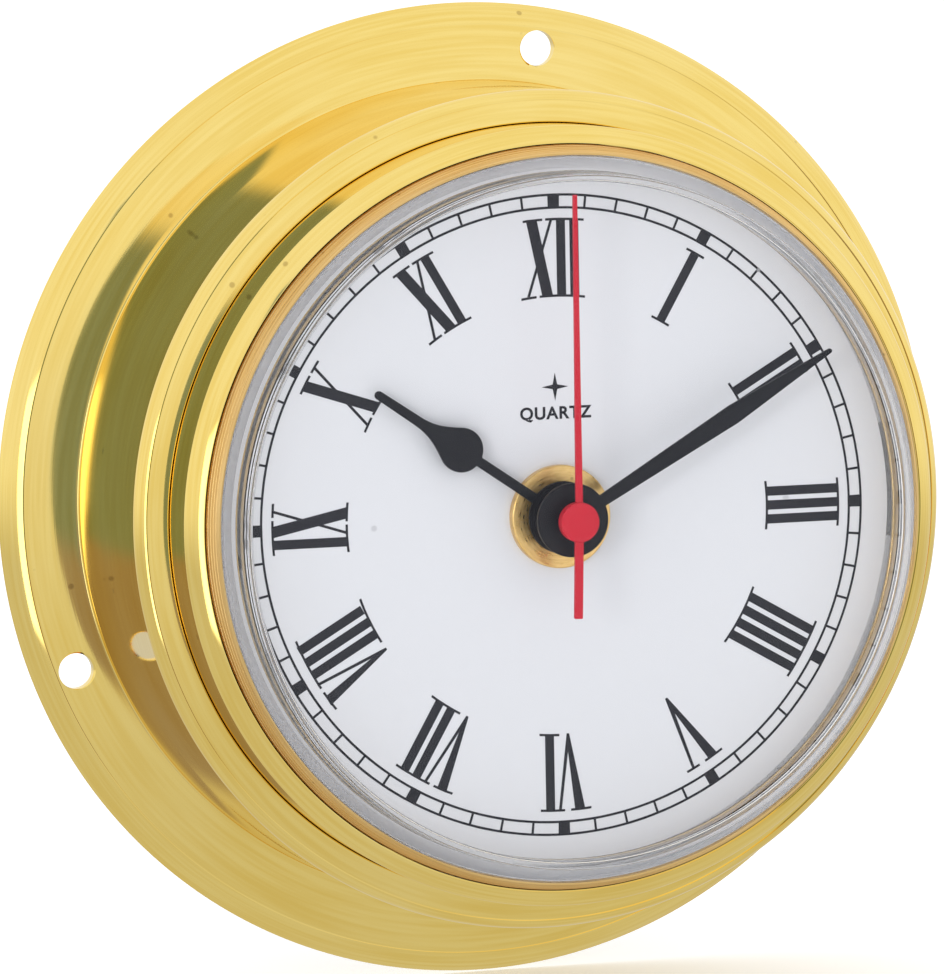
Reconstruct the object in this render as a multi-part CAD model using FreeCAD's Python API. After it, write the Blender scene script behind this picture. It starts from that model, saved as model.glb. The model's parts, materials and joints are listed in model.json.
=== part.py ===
"""Ship's deck clock: a round brass quartz clock on a screw-down flange.

Frame: millimetres, +Z to twelve o'clock, +X to three o'clock, the dial faces -Y.
The origin is the centre of the mounting plane, so a height h in front of the
wall or bulkhead lies at y = -h. Angles on the dial are clockwise from twelve.
"""
import FreeCAD, Part
import math
import os

os.makedirs("parts", exist_ok=True)
V = FreeCAD.Vector

# ---------------------------------------------------------------- base
flange_r = 63.5            # 127 mm over the screw-down flange
flange_front = 2.4         # front of the flange at the screw circle, in front of the wall
flange_sheet = 1.5         # thickness of the flange plate
flange_slope = 3.1         # the flange falls away towards its rim, in degrees
rim_flat_r = 61.3          # where the rounded rim ends in a small step
rim_front = 2.52           # crest of the rounded rim
rim_foot = 0.5             # height of the rim's straight edge
rim_wall = 1.5             # width of the rim that touches the wall
base_wall_r = 53.5         # foot of the drum that rises from the flange
base_waist_r = 53.05       # drum where its flared foot ends
base_top_r = 53.35         # drum just under its rounded shoulder
base_foot_fillet = 0.3     # small round in the corner between flange and drum
base_flare_top = 12.0      # height at which the flared foot has become upright
base_inner_fillet = 1.7    # the sheet's round on its inside
base_shoulder = 1.5        # radius of the rounded shoulder
base_step = 0.12           # height of the small step inside the shoulder
base_front = 31.4          # front of the drum at the step
base_dome = 0.2            # rise of the drum's front from the step to the lip
base_flat_r = 52.0         # where the rounded shoulder ends in a small step
base_bore_r = 52.15        # inside of the drum
base_lip = 1.2             # thickness of the front lip
base_lip_r = 49.32         # hole that the head comes through
base_lip_round = 0.25
screw_circle_r = 58.1
screw_hole_r = 2.3
screw_count = 3
screw_first_angle = 9.2    # the base was screwed on a little askew of the dial

# ---------------------------------------------------------------- swivel bush
bush_r = 52.08             # turns in the drum
bush_bore_r = 49.27        # the head slides in it
bush_back = 12.0
bush_front = 30.1
bush_bevel = 0.4
clip_back = 10.7
clip_front = 11.7
clip_outer_r = 52.55
clip_inner_r = 51.1
clip_gap = 14.0            # opening of the spring clip, in degrees
ring_groove_back = 25.7
ring_groove_front = 27.9
ring_groove_r = 51.25
o_ring_cord_r = 0.95
o_ring_gap = 0.05          # between the ring and the head, at rest

# ---------------------------------------------------------------- head
case_r = 49.2
case_wall = 1.2
case_back = 12.6
case_shoulder_start = 39.0  # where the wall starts to round over
case_front = 40.45
case_flat_r = 47.15        # end of the rounding, at the groove
case_groove = 0.2          # depth of the groove against the retaining ring
case_crease = 0.15         # width of the crease at the end of the rounding
case_bevel = 0.4           # on the rear edge
case_bore_r = 47.0         # bore that holds lens, dial and retaining ring
case_shelf_r = 44.5        # inward shelf that carries the dial
case_shelf_back = 32.4
case_shelf_front = 33.6
retainer_r = 46.92
retainer_back = 38.2
retainer_waist = 40.3      # where the sloping face starts
retainer_hollow_r = 46.57  # the sloping face is a little hollow: a point half way up it
retainer_hollow_h = 41.5
retainer_front = 43.0
retainer_bevel = 0.1
retainer_front_r = 45.95
retainer_bore_r = 45.66
dial_r = 46.9
dial_front = 36.2
dial_thick = 0.5
dial_hole_r = 4.1
seat_bore_r = 43.6

# ---------------------------------------------------------------- lens
lens_front = 47.2
lens_thick = 1.6
lens_foot_r = 46.8
lens_foot_thick = 1.2
lens_wall_r = 45.6         # outside of the lower wall at its foot
lens_ledge_r = 45.5        # outside of the lower wall at its top
lens_ledge = 42.8          # flat ledge round the raised front
lens_ledge_round = 0.3
lens_bore_r = 44.0         # inside of the lower wall
lens_collar_r = 43.75      # outside of the raised front at the ledge
lens_top_r = 43.45         # outside of the raised front under its rounded edge
lens_edge = 0.3            # rounding of the front edge
lens_inner_r = 42.75       # inside of the raised front
lens_corner = 0.3          # rounding inside the cup
seal_gap = 0.1             # room for the rubber seal on both sides

# ---------------------------------------------------------------- hands
minute_angle = 60.15
hour_angle = 304.6
second_angle = 0.2
hand_sheet = 0.35
hour_hand_back = 37.85
hour_hub_r = 4.55
hour_neck_half = 0.62      # half width next to the hub
hour_bulb_at = 16.0        # centre of the round bulb
hour_bulb_r = 2.8
hour_flank_at = 17.4       # where the bulb flows into the stem
hour_stem_at = 23.0
hour_stem_half = 0.62
hour_tip_half = 0.54
hour_length = 29.4
hour_neck_start = 2.0      # the flanks start inside the hub
hour_flank_pull = 2.2      # how far the curve keeps the bulb's direction
hour_stem_pull = 2.4
minute_hand_back = 41.6
minute_hub_r = 4.65
minute_neck_start = 3.0
minute_neck_half = 0.72
minute_wide_at = 24.8
minute_wide_half = 1.25
minute_shoulder_at = 37.6
minute_shoulder_half = 0.44
minute_tip_half = 0.3
minute_length = 40.0
second_hand_back = 44.3
second_hand_thick = 0.4
second_hub_r = 2.5
second_hub_front = 45.05
second_length = 40.8
second_tip_half = 0.26
second_neck_half = 0.46
second_tail = 12.1
second_tail_half = 0.54
second_tail_set = 1.4      # the moulded tail is bent a little, in degrees
second_edge = 0.15
second_hub_back = 43.8
second_socket_r = 0.95
second_socket_back = 42.8
second_arbor_bite = 0.3    # how deep the arbor sits in the hub

# ---------------------------------------------------------------- shafts
running_gap = 0.05
second_arbor_r = 0.45
second_collar_r = 0.85
cannon_bore_r = second_arbor_r + running_gap
cannon_r = 1.5
hour_pipe_bore_r = cannon_r + running_gap
hour_pipe_r = 2.5
stem_bore_r = hour_pipe_r + running_gap
stem_r = 4.0               # threaded stem of the movement, M8
stem_front = 37.5
pivot_r = 0.4
arbor_r = 0.5
intermediate_arbor_r = 0.45
rotor_arbor_r = 1.0
nut_r = 6.5
nut_thick = 1.2
nut_bevel = 0.25
nut_mouth = 0.3            # bevel at the thread
thread_gap = 0.02
washer_r = 9.5

# ---------------------------------------------------------------- movement case
movement_half = 28.0       # 56 mm square
movement_corner = 4.0
shell_wall = 1.0
shell_front = 34.7
plate_thick = 1.2
shell_back = 19.6
cover_thick = 1.2
divider_low = -12.2        # wall between battery bay and wheels
divider_high = -11.2
post_r = 1.6
bridge_back = 21.8
bridge_front = 22.8
stator_back = 23.8
stator_front = 25.0
pivot_depth = 0.5

# ---------------------------------------------------------------- wheels
module_going = 0.30
seconds_teeth = 60
seconds_pinion_teeth = 8
third_teeth = 64
third_pinion_teeth = 8
centre_teeth = 60
intermediate_teeth = 60
intermediate_pinion_teeth = 10
rotor_teeth = 12
module_motion = 0.35
cannon_teeth = 12
minute_teeth = 36
minute_pinion_teeth = 10
hour_teeth = 40
knob_teeth = 12
wheel_thick = 0.7
pinion_thick = 1.1
motion_pinion_thick = 0.9
hour_wheel_thick = 0.6
wheel_hub_r = 2.0          # the lightening holes lie between hub and rim
seconds_rim_r = 7.8
third_rim_r = 8.4
centre_hub_r = 2.6
centre_rim_r = 8.2
pipe_proud = 0.15          # how far pipes stand in front of their hands and behind their wheels
end_shake = 0.15
arbor_front_gap = 0.2      # from an arbor's shoulder to the front plate
magnet_r = 3.0
magnet_proud = 0.3         # on each side of the stator
knob_r = 4.4
knob_back = 15.6
knob_front = 17.6
knob_shaft_r = 0.9
knob_ribs = 24
knob_rib_r = 0.3
knob_rib_circle_r = 4.55

third_dist = module_going * (third_teeth + seconds_pinion_teeth) / 2
module_centre = 2 * third_dist / (third_pinion_teeth + centre_teeth)
intermediate_dist = module_going * (seconds_teeth + intermediate_pinion_teeth) / 2
rotor_dist = module_going * (intermediate_teeth + rotor_teeth) / 2
minute_dist = module_motion * (cannon_teeth + minute_teeth) / 2
module_hour = 2 * minute_dist / (minute_pinion_teeth + hour_teeth)
knob_dist = module_motion * (minute_teeth + knob_teeth) / 2

third_way = 160.0          # directions between axes, anticlockwise from three o'clock
intermediate_way = 75.0
rotor_way = -10.0
minute_way = -10.0
knob_way = -20.0

rotor_layer = 25.6         # back of the rotor pinion
intermediate_layer = 25.8
intermediate_pinion_layer = 26.9
seconds_layer = 27.1
seconds_pinion_layer = 28.4
third_layer = 28.6
third_pinion_layer = 29.8
centre_layer = 30.0
cannon_layer = 31.1
minute_layer = 31.2
minute_pinion_layer = 32.3
hour_layer = 32.6

# ---------------------------------------------------------------- battery
battery_r = 7.25           # AA cell
battery_length = 50.5
battery_z = -19.6
battery_h = 26.2
battery_edge = 0.6
button_r = 2.7
button_proud = 1.6
leaf_thick = 0.35          # contact leaves
leaf_half_width = 4.0
leaf_half_height = 6.0
dimple_r = 1.5
dimple_proud = 1.0
spring_turns = 4
spring_r = 3.2
spring_taper = 0.3
spring_pitch = 0.3
spring_wire_r = 0.24


def at(x, z, h):
    return V(x, -h, z)


def export(shape, name):
    shape.exportStep("parts/%s.step" % name)


def turned(*steps):
    """Solid of revolution about the clock's axis.

    Each step is (r, h) for a straight edge, or (r_mid, h_mid, r_end, h_end)
    for an arc through a middle point.
    """
    edges = []
    last = steps[0]
    for step in list(steps[1:]) + [steps[0]]:
        end = step[-2:]
        if len(step) == 4:
            middle = at(step[0], 0, step[1])
            edges.append(Part.Arc(at(last[0], 0, last[1]), middle, at(end[0], 0, end[1])).toShape())
        else:
            edges.append(Part.LineSegment(at(last[0], 0, last[1]), at(end[0], 0, end[1])).toShape())
        last = end
    return Part.Face(Part.Wire(edges)).revolve(V(0, 0, 0), V(0, 1, 0), 360)


def rounded(r0, h0, r1, h1):
    """Middle point and end of a convex quarter round from the wall (r0, h0) to the front (r1, h1)."""
    bulge = math.sqrt(0.5)
    return (r1 + (r0 - r1) * bulge, h0 + (h1 - h0) * bulge, r1, h1)


def rounded_in(r0, h0, r1, h1):
    """Middle point and end of a convex quarter round from the front (r0, h0) to the bore (r1, h1)."""
    bulge = math.sqrt(0.5)
    return (r0 + (r1 - r0) * bulge, h1 + (h0 - h1) * bulge, r1, h1)


def flared(r0, h0, r1, h1):
    """Middle point and end of a shallow arc from the foot (r0, h0) that is upright at (r1, h1)."""
    half = math.atan2(r0 - r1, h1 - h0)
    radius = (h1 - h0) / math.sin(2 * half)
    return (r1 + radius * (1 - math.cos(half)), h1 - radius * math.sin(half), r1, h1)


def disc(r, back, front, x=0.0, z=0.0, bore=0.0):
    body = Part.makeCylinder(r, front - back, at(x, z, back), V(0, -1, 0))
    if bore:
        body = body.cut(Part.makeCylinder(bore, front - back + 2, at(x, z, back - 1), V(0, -1, 0)))
    return body


def block(x0, x1, z0, z1, back, front):
    return Part.makeBox(x1 - x0, front - back, z1 - z0, V(x0, -front, z0))


def rounded_block(x0, x1, z0, z1, back, front, radius):
    body = block(x0, x1, z0, z1, back, front)
    corners = [e for e in body.Edges if abs(e.tangentAt(e.FirstParameter).y) > 0.99]
    return body.makeFillet(radius, corners)


def flat_plate(outline, back, front):
    """Plate from a closed list of edges drawn in the plane y = 0."""
    face = Part.Face(Part.Wire(outline))
    body = face.extrude(V(0, -(front - back), 0))
    body.translate(V(0, -back, 0))
    return body


def polygon_plate(points, back, front):
    ring = [V(x, 0, z) for x, z in points]
    return flat_plate(Part.makePolygon(ring + [ring[0]]).Edges, back, front)


def around(x0, z0, distance, way):
    a = math.radians(way)
    return x0 + distance * math.cos(a), z0 + distance * math.sin(a)


def gear(teeth, module, back, front, centre, phase, bore=0.0):
    """Spur gear with short straight-sided teeth; phase is the direction of one tooth."""
    pitch_r = teeth * module / 2
    root_r = pitch_r - 0.95 * module
    tip_r = pitch_r + 0.65 * module
    pitch = 2 * math.pi / teeth
    points = []
    for i in range(teeth):
        a = math.radians(phase) + i * pitch
        corners = ((root_r, -0.27), (tip_r, -0.1), (tip_r, 0.1), (root_r, 0.27))
        for r, share in corners:
            points.append((r * math.cos(a + share * pitch), r * math.sin(a + share * pitch)))
    body = polygon_plate(points, back, front)
    body.translate(V(centre[0], 0, centre[1]))
    if bore:
        body = body.cut(disc(bore, back - 1, front + 1, *centre))
    return body


def crossings(body, back, front, centre, hub_r, rim_r, count):
    """Cuts round lightening holes between hub and rim."""
    hole_r = (rim_r - hub_r) / 2
    for i in range(count):
        x, z = around(centre[0], centre[1], (rim_r + hub_r) / 2, 360.0 * i / count)
        body = body.cut(disc(hole_r, back - 1, front + 1, x, z))
    return body


def mesh_phase(way, phase, teeth, other_teeth):
    """Phase of a gear lying in the direction way, so that its gap meets the other's tooth."""
    return way + 180 + 180.0 / other_teeth + (way - phase) * teeth / other_teeth


def turn_hand(body, angle):
    body.rotate(V(0, 0, 0), V(0, 1, 0), angle)
    return body


# ================================================================ base
def flange_height(r):
    """Front of the sloping flange at radius r."""
    return flange_front - (r - screw_circle_r) * math.tan(math.radians(flange_slope))


def base_flange():
    """Flange, drum and front lip, spun from one sheet, with the screw holes."""
    shoulder_top = base_front + base_step
    lip_front = base_front + base_dome
    foot_r = base_wall_r + base_foot_fillet
    foot_front = flange_height(foot_r)
    corner = 1 - math.sqrt(0.5)
    bulge = base_foot_fillet * corner
    inner_bulge = base_inner_fillet * corner
    inner_r = base_bore_r + base_inner_fillet
    inner_back = flange_height(inner_r) - flange_sheet
    rim_inner_r = flange_r - rim_wall
    body = turned(
        (flange_r, 0.0),
        (flange_r, rim_foot),
        rounded(flange_r, rim_foot, rim_flat_r + 0.1, rim_front),
        (rim_flat_r, rim_front),
        (rim_flat_r, flange_height(rim_flat_r)),
        (foot_r, foot_front),
        (base_wall_r + bulge, foot_front + bulge, base_wall_r, foot_front + base_foot_fillet),
        flared(base_wall_r, foot_front + base_foot_fillet, base_waist_r, base_flare_top),
        (base_top_r, base_front - base_shoulder),
        rounded(base_top_r, base_front - base_shoulder, base_flat_r + 0.1, shoulder_top),
        (base_flat_r, shoulder_top),
        (base_flat_r, base_front),
        (base_lip_r + base_lip_round, lip_front),
        rounded_in(base_lip_r + base_lip_round, lip_front, base_lip_r, lip_front - base_lip_round),
        (base_lip_r, base_front - base_lip),
        (base_bore_r, base_front - base_lip),
        (base_bore_r, clip_front),
        (clip_outer_r, clip_front),
        (clip_outer_r, clip_back),
        (base_bore_r, clip_back),
        (base_bore_r, inner_back + base_inner_fillet),
        (base_bore_r + inner_bulge, inner_back + inner_bulge, inner_r, inner_back),
        (rim_inner_r, flange_height(rim_inner_r) - flange_sheet),
        (rim_inner_r, 0.0),
    )
    for i in range(screw_count):
        a = math.radians(screw_first_angle + 360.0 * i / screw_count)
        x, z = screw_circle_r * math.sin(a), screw_circle_r * math.cos(a)
        body = body.cut(disc(screw_hole_r, -1, flange_front + 1, x, z))
    return body


def snap_ring():
    """Open spring clip that keeps the bush in the drum, its gap at six o'clock."""
    body = disc(clip_outer_r, clip_back, clip_front, bore=clip_inner_r)
    half = math.radians(clip_gap / 2)
    reach = clip_outer_r + 5
    wedge = polygon_plate([(0, 0), (-reach * math.sin(half), -reach * math.cos(half)),
                           (reach * math.sin(half), -reach * math.cos(half))], clip_back - 1, clip_front + 1)
    return body.cut(wedge)


# ================================================================ swivel bush
def swivel_bush():
    return turned(
        (bush_bore_r, bush_back),
        (bush_r, bush_back),
        (bush_r, bush_front),
        (bush_bore_r + bush_bevel, bush_front),
        (bush_bore_r, bush_front - bush_bevel),
        (bush_bore_r, ring_groove_front),
        (ring_groove_r, ring_groove_front),
        (ring_groove_r, ring_groove_back),
        (bush_bore_r, ring_groove_back),
    )


def o_ring():
    centre_r = case_r + o_ring_gap + o_ring_cord_r
    middle = (ring_groove_back + ring_groove_front) / 2
    return Part.makeTorus(centre_r, o_ring_cord_r, at(0, 0, middle), V(0, 1, 0))


# ================================================================ head
def head_case():
    inside_r = case_r - case_wall
    return turned(
        (inside_r, case_back),
        (case_r - case_bevel, case_back),
        (case_r, case_back + case_bevel),
        (case_r, case_shoulder_start),
        rounded(case_r, case_shoulder_start, case_flat_r + case_crease, case_front),
        (case_flat_r, case_front),
        (case_flat_r, case_front - case_groove),
        (case_bore_r, case_front - case_groove),
        (case_bore_r, case_shelf_front),
        (case_shelf_r, case_shelf_front),
        (case_shelf_r, case_shelf_back),
        (inside_r, case_shelf_back),
    )


def retaining_ring():
    return turned(
        (retainer_bore_r, retainer_back),
        (retainer_r, retainer_back),
        (retainer_r, retainer_waist),
        (retainer_hollow_r, retainer_hollow_h, retainer_front_r, retainer_front - retainer_bevel),
        (retainer_front_r - retainer_bevel, retainer_front),
        (retainer_bore_r, retainer_front),
    )


def lens():
    """Clear cup in two steps: a foot under the ring, a ledge level with the ring, and the raised front."""
    inner_front = lens_front - lens_thick
    foot = dial_front + lens_foot_thick
    ledge_r = lens_ledge_r - lens_ledge_round
    corner = math.sqrt(0.5) * lens_corner
    return turned(
        (lens_bore_r, dial_front),
        (lens_foot_r, dial_front),
        (lens_foot_r, foot),
        (lens_wall_r, foot),
        (lens_ledge_r, lens_ledge - lens_ledge_round),
        rounded(lens_ledge_r, lens_ledge - lens_ledge_round, ledge_r, lens_ledge),
        (lens_collar_r, lens_ledge),
        (lens_top_r, lens_front - lens_edge),
        rounded(lens_top_r, lens_front - lens_edge, lens_top_r - lens_edge, lens_front),
        (0.0, lens_front),
        (0.0, inner_front),
        (lens_inner_r - lens_corner, inner_front),
        (lens_inner_r - lens_corner + corner, inner_front - lens_corner + corner,
         lens_inner_r, inner_front - lens_corner),
        (lens_inner_r, lens_ledge - lens_thick),
        (lens_bore_r, lens_ledge - lens_thick),
    )


def lens_seal():
    foot = dial_front + lens_foot_thick
    return disc(retainer_r - seal_gap, foot, retainer_back, bore=lens_wall_r + seal_gap)


def dial_plate():
    return disc(dial_r, dial_front - dial_thick, dial_front, bore=dial_hole_r)


def dial_seat():
    return disc(dial_r, case_shelf_front, dial_front - dial_thick, bore=seat_bore_r)


def dial_nut():
    bore = stem_r + thread_gap
    back = dial_front
    front = dial_front + nut_thick
    return turned(
        (bore, back),
        (nut_r, back),
        (nut_r, front - nut_bevel),
        rounded(nut_r, front - nut_bevel, nut_r - nut_bevel, front),
        (bore + nut_mouth, front),
        (bore, front - nut_mouth),
    )


def rubber_washer():
    return disc(washer_r, shell_front, dial_front - dial_thick, bore=stem_r + seal_gap)


# ================================================================ hands
def mirrored_hand(upper, tip_half, length, back, front, hub_r, bore):
    """Hand pointing to twelve: upper is a list of edges on its right flank, from the hub to the tip."""
    left = [e.mirror(V(0, 0, 0), V(1, 0, 0)) for e in upper]
    start = V(upper[0].valueAt(upper[0].FirstParameter))
    tip = V(tip_half, 0, length - tip_half)
    cap = Part.Arc(tip, V(0, 0, length), V(-tip.x, 0, tip.z)).toShape()
    tail = Part.LineSegment(V(-start.x, 0, start.z), start).toShape()
    edges = Part.__sortEdges__(upper + [cap] + left + [tail])
    body = flat_plate(edges, back, front)
    return body.fuse(disc(hub_r, back, front)).removeSplitter().cut(disc(bore, back - 1, front + 1))


def hour_hand():
    neck = V(hour_neck_half, 0, hour_neck_start)
    neck_end = V(hour_neck_half, 0, hour_bulb_at - math.sqrt(hour_bulb_r ** 2 - hour_neck_half ** 2))
    rise = hour_flank_at - hour_bulb_at
    flank = V(math.sqrt(hour_bulb_r ** 2 - rise ** 2), 0, hour_flank_at)
    side = V(hour_bulb_r, 0, hour_bulb_at)
    stem = V(hour_stem_half, 0, hour_stem_at)
    tip = V(hour_tip_half, 0, hour_length - hour_tip_half)
    away = V(-rise, 0, flank.x) * (hour_flank_pull / hour_bulb_r)
    curve = Part.BezierCurve()
    curve.setPoles([flank, flank + away, stem - V(0, 0, hour_stem_pull), stem])
    edges = [
        Part.LineSegment(neck, neck_end).toShape(),
        Part.Arc(neck_end, side, flank).toShape(),
        curve.toShape(),
        Part.LineSegment(stem, tip).toShape(),
    ]
    front = hour_hand_back + hand_sheet
    body = mirrored_hand(edges, hour_tip_half, hour_length, hour_hand_back, front, hour_hub_r, hour_pipe_r)
    return turn_hand(body, hour_angle)


def minute_hand():
    points = [
        V(minute_neck_half, 0, minute_neck_start),
        V(minute_wide_half, 0, minute_wide_at),
        V(minute_shoulder_half, 0, minute_shoulder_at),
        V(minute_tip_half, 0, minute_length - minute_tip_half),
    ]
    edges = [Part.LineSegment(a, b).toShape() for a, b in zip(points, points[1:])]
    front = minute_hand_back + hand_sheet
    body = mirrored_hand(edges, minute_tip_half, minute_length, minute_hand_back, front,
                         minute_hub_r, cannon_r)
    return turn_hand(body, minute_angle)


def second_hand():
    back = second_hand_back
    front = back + second_hand_thick
    arm = polygon_plate([(second_neck_half, 0), (second_tip_half, second_length),
                         (-second_tip_half, second_length), (-second_neck_half, 0)], back, front)
    tail = rounded_block(-second_tail_half, second_tail_half, -second_tail, 0, back, front, second_edge)
    tail.rotate(V(0, 0, 0), V(0, 1, 0), second_tail_set)
    hub = disc(second_hub_r, second_hub_back, second_hub_front)
    rim = [e for e in hub.Edges if abs(e.CenterOfMass.y + second_hub_front) < 0.01]
    hub = hub.makeFillet(second_edge, rim)
    socket = disc(second_socket_r, second_socket_back, back)
    body = arm.fuse([tail, hub, socket]).removeSplitter()
    return turn_hand(body.cut(disc(second_arbor_r, back - 2, back + second_arbor_bite)), second_angle)


# ================================================================ wheel train
centre = (0.0, 0.0)
third_at = around(0, 0, third_dist, third_way)
intermediate_at = around(0, 0, intermediate_dist, intermediate_way)
rotor_at = around(intermediate_at[0], intermediate_at[1], rotor_dist, rotor_way)
minute_at = around(0, 0, minute_dist, minute_way)
knob_at = around(minute_at[0], minute_at[1], knob_dist, knob_way)

cannon_phase = 90.0 - minute_angle
minute_phase = mesh_phase(minute_way, cannon_phase, cannon_teeth, minute_teeth)
hour_phase = mesh_phase(minute_way + 180, minute_phase, minute_pinion_teeth, hour_teeth)
knob_phase = mesh_phase(knob_way, minute_phase, minute_teeth, knob_teeth)
seconds_phase = 90.0 - second_angle
third_phase = mesh_phase(third_way, seconds_phase, seconds_pinion_teeth, third_teeth)
centre_phase = mesh_phase(third_way + 180, third_phase, third_pinion_teeth, centre_teeth)
intermediate_phase = mesh_phase(intermediate_way, seconds_phase, seconds_teeth, intermediate_pinion_teeth)
rotor_phase = mesh_phase(rotor_way, intermediate_phase, intermediate_teeth, rotor_teeth)


def pivoted_arbor(centre_xz, radius, front):
    """Steel or moulded shaft from the bridge to the front plate, with a thin pivot at each end."""
    shaft = disc(radius, bridge_front + end_shake, front, *centre_xz)
    rear = disc(pivot_r, bridge_back + 0.1, bridge_front + 0.2, *centre_xz)
    plate_back = shell_front - plate_thick
    nose = disc(pivot_r, front - 0.1, plate_back + pivot_depth - 0.1, *centre_xz)
    return shaft.fuse([rear, nose]).removeSplitter()


def seconds_wheel():
    """Wheel, pinion and the long arbor that carries the second hand."""
    top = seconds_layer + wheel_thick
    wheel = gear(seconds_teeth, module_going, seconds_layer, top, centre, seconds_phase)
    wheel = crossings(wheel, seconds_layer, top, centre, wheel_hub_r, seconds_rim_r, 4)
    pinion = gear(seconds_pinion_teeth, module_going, seconds_pinion_layer,
                  seconds_pinion_layer + pinion_thick, centre, seconds_phase)
    collar = disc(second_collar_r, bridge_front + end_shake, seconds_pinion_layer + 0.1)
    arbor = disc(second_arbor_r, bridge_front, second_hand_back + 0.2)
    rear = disc(pivot_r, bridge_back + 0.1, bridge_front + 0.1)
    return wheel.fuse([pinion, collar, arbor, rear]).removeSplitter()


def third_wheel():
    wheel = gear(third_teeth, module_going, third_layer, third_layer + wheel_thick, third_at, third_phase)
    wheel = crossings(wheel, third_layer, third_layer + wheel_thick, third_at, wheel_hub_r, third_rim_r, 4)
    pinion = gear(third_pinion_teeth, module_centre, third_layer + 0.3, third_pinion_layer + pinion_thick,
                  third_at, third_phase)
    arbor = pivoted_arbor(third_at, arbor_r, shell_front - plate_thick - arbor_front_gap)
    return wheel.fuse([pinion, arbor]).removeSplitter()


def centre_wheel():
    wheel = gear(centre_teeth, module_centre, centre_layer, centre_layer + wheel_thick, centre, centre_phase,
                 bore=cannon_r)
    return crossings(wheel, centre_layer, centre_layer + wheel_thick, centre, centre_hub_r, centre_rim_r, 5)


def cannon_pinion():
    pipe = disc(cannon_r, centre_layer - pipe_proud, minute_hand_back + hand_sheet + pipe_proud)
    pinion = gear(cannon_teeth, module_motion, cannon_layer, cannon_layer + motion_pinion_thick,
                  centre, cannon_phase)
    body = pipe.fuse(pinion).removeSplitter()
    return body.cut(disc(cannon_bore_r, centre_layer - 1, minute_hand_back + 2))


def minute_wheel():
    wheel = gear(minute_teeth, module_motion, minute_layer, minute_layer + wheel_thick,
                 minute_at, minute_phase)
    pinion = gear(minute_pinion_teeth, module_hour, minute_layer + 0.3, minute_pinion_layer + 1.0,
                  minute_at, minute_phase)
    body = wheel.fuse(pinion).removeSplitter()
    return body.cut(disc(minute_post_r + running_gap, minute_layer - 1, minute_pinion_layer + 2, *minute_at))


def hour_wheel():
    wheel = gear(hour_teeth, module_hour, hour_layer, hour_layer + hour_wheel_thick, centre, hour_phase)
    pipe = disc(hour_pipe_r, hour_layer - pipe_proud, hour_hand_back + hand_sheet + pipe_proud)
    body = wheel.fuse(pipe).removeSplitter()
    return body.cut(disc(hour_pipe_bore_r, hour_layer - 1, hour_hand_back + 2))


def intermediate_wheel():
    top = intermediate_layer + wheel_thick
    wheel = gear(intermediate_teeth, module_going, intermediate_layer, top,
                 intermediate_at, intermediate_phase)
    wheel = crossings(wheel, intermediate_layer, top, intermediate_at, wheel_hub_r, seconds_rim_r, 4)
    pinion = gear(intermediate_pinion_teeth, module_going, top - 0.2,
                  intermediate_pinion_layer + pinion_thick, intermediate_at, intermediate_phase)
    arbor = pivoted_arbor(intermediate_at, intermediate_arbor_r,
                          shell_front - plate_thick - arbor_front_gap)
    return wheel.fuse([pinion, arbor]).removeSplitter()


def rotor_pinion():
    pinion = gear(rotor_teeth, module_going, rotor_layer, rotor_layer + pinion_thick, rotor_at, rotor_phase)
    arbor = pivoted_arbor(rotor_at, rotor_arbor_r, shell_front - plate_thick - arbor_front_gap)
    return pinion.fuse(arbor).removeSplitter()


def rotor_magnet():
    return disc(magnet_r, stator_back - magnet_proud, stator_front + magnet_proud, *rotor_at,
                bore=rotor_arbor_r)


def setting_knob():
    """Knob, shaft and pinion in one moulding; the grip has fine ribs."""
    x, z = knob_at
    plate_back = shell_front - plate_thick
    pinion = gear(knob_teeth, module_motion, cannon_layer, cannon_layer + motion_pinion_thick,
                  knob_at, knob_phase)
    shaft = disc(knob_shaft_r, knob_back, plate_back - arbor_front_gap, x, z)
    nose = disc(pivot_r, plate_back - 0.5, plate_back + pivot_depth - 0.1, x, z)
    grip = disc(knob_r, knob_back, knob_front, x, z)
    body = grip.fuse([shaft, pinion, nose]).removeSplitter()
    for i in range(knob_ribs):
        rib = around(x, z, knob_rib_circle_r, 360.0 * i / knob_ribs)
        body = body.cut(disc(knob_rib_r, knob_back - 1, knob_front + 1, *rib))
    return body


# ================================================================ movement
post_places = ((-24.5, -9.0), (24.5, -9.0), (-24.5, 24.0), (24.5, 24.0))
pin_places = ((-13.2, -9.0), (-13.2, 24.0))
pin_r = 0.9                # locating pins of the bridge
minute_post_r = 0.75       # post that the minute wheel turns on
screw_r = 0.9
screw_hole = 1.0           # radius of the clearance holes for the screws
screw_bite = 4.2           # thread length in the post
screw_head_r = 1.6
screw_head_thick = 0.9
screw_slot_half = 0.2
screw_slot_deep = 0.4
sink_r = 1.75              # countersinks in the cover
sink_deep = 0.6

coil_z = 22.8
coil_h = stator_front + 0.6
coil_x0 = 0.0
coil_x1 = 12.0
bobbin_r = 1.2
bobbin_flange_r = 2.5
bobbin_flange_thick = 0.8
winding_r = 2.3
core_half = 0.7
core_thick = 1.2
leg_left = (-8.0, -4.0)
leg_right = (15.0, 19.0)
stator_low = 4.3
stator_bar_top = 12.4
stator_top = 24.6
stator_bore_r = 3.4        # round the magnet
arbor_hole_r = 1.3
pad_r = 1.2

bridge_left = -15.5
bridge_ear = -26.7
bridge_right = 26.7
bridge_low = -10.9
bridge_ear_low = -6.6      # top of the lower ear
bridge_ear_high = 21.6     # foot of the upper ear

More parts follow.
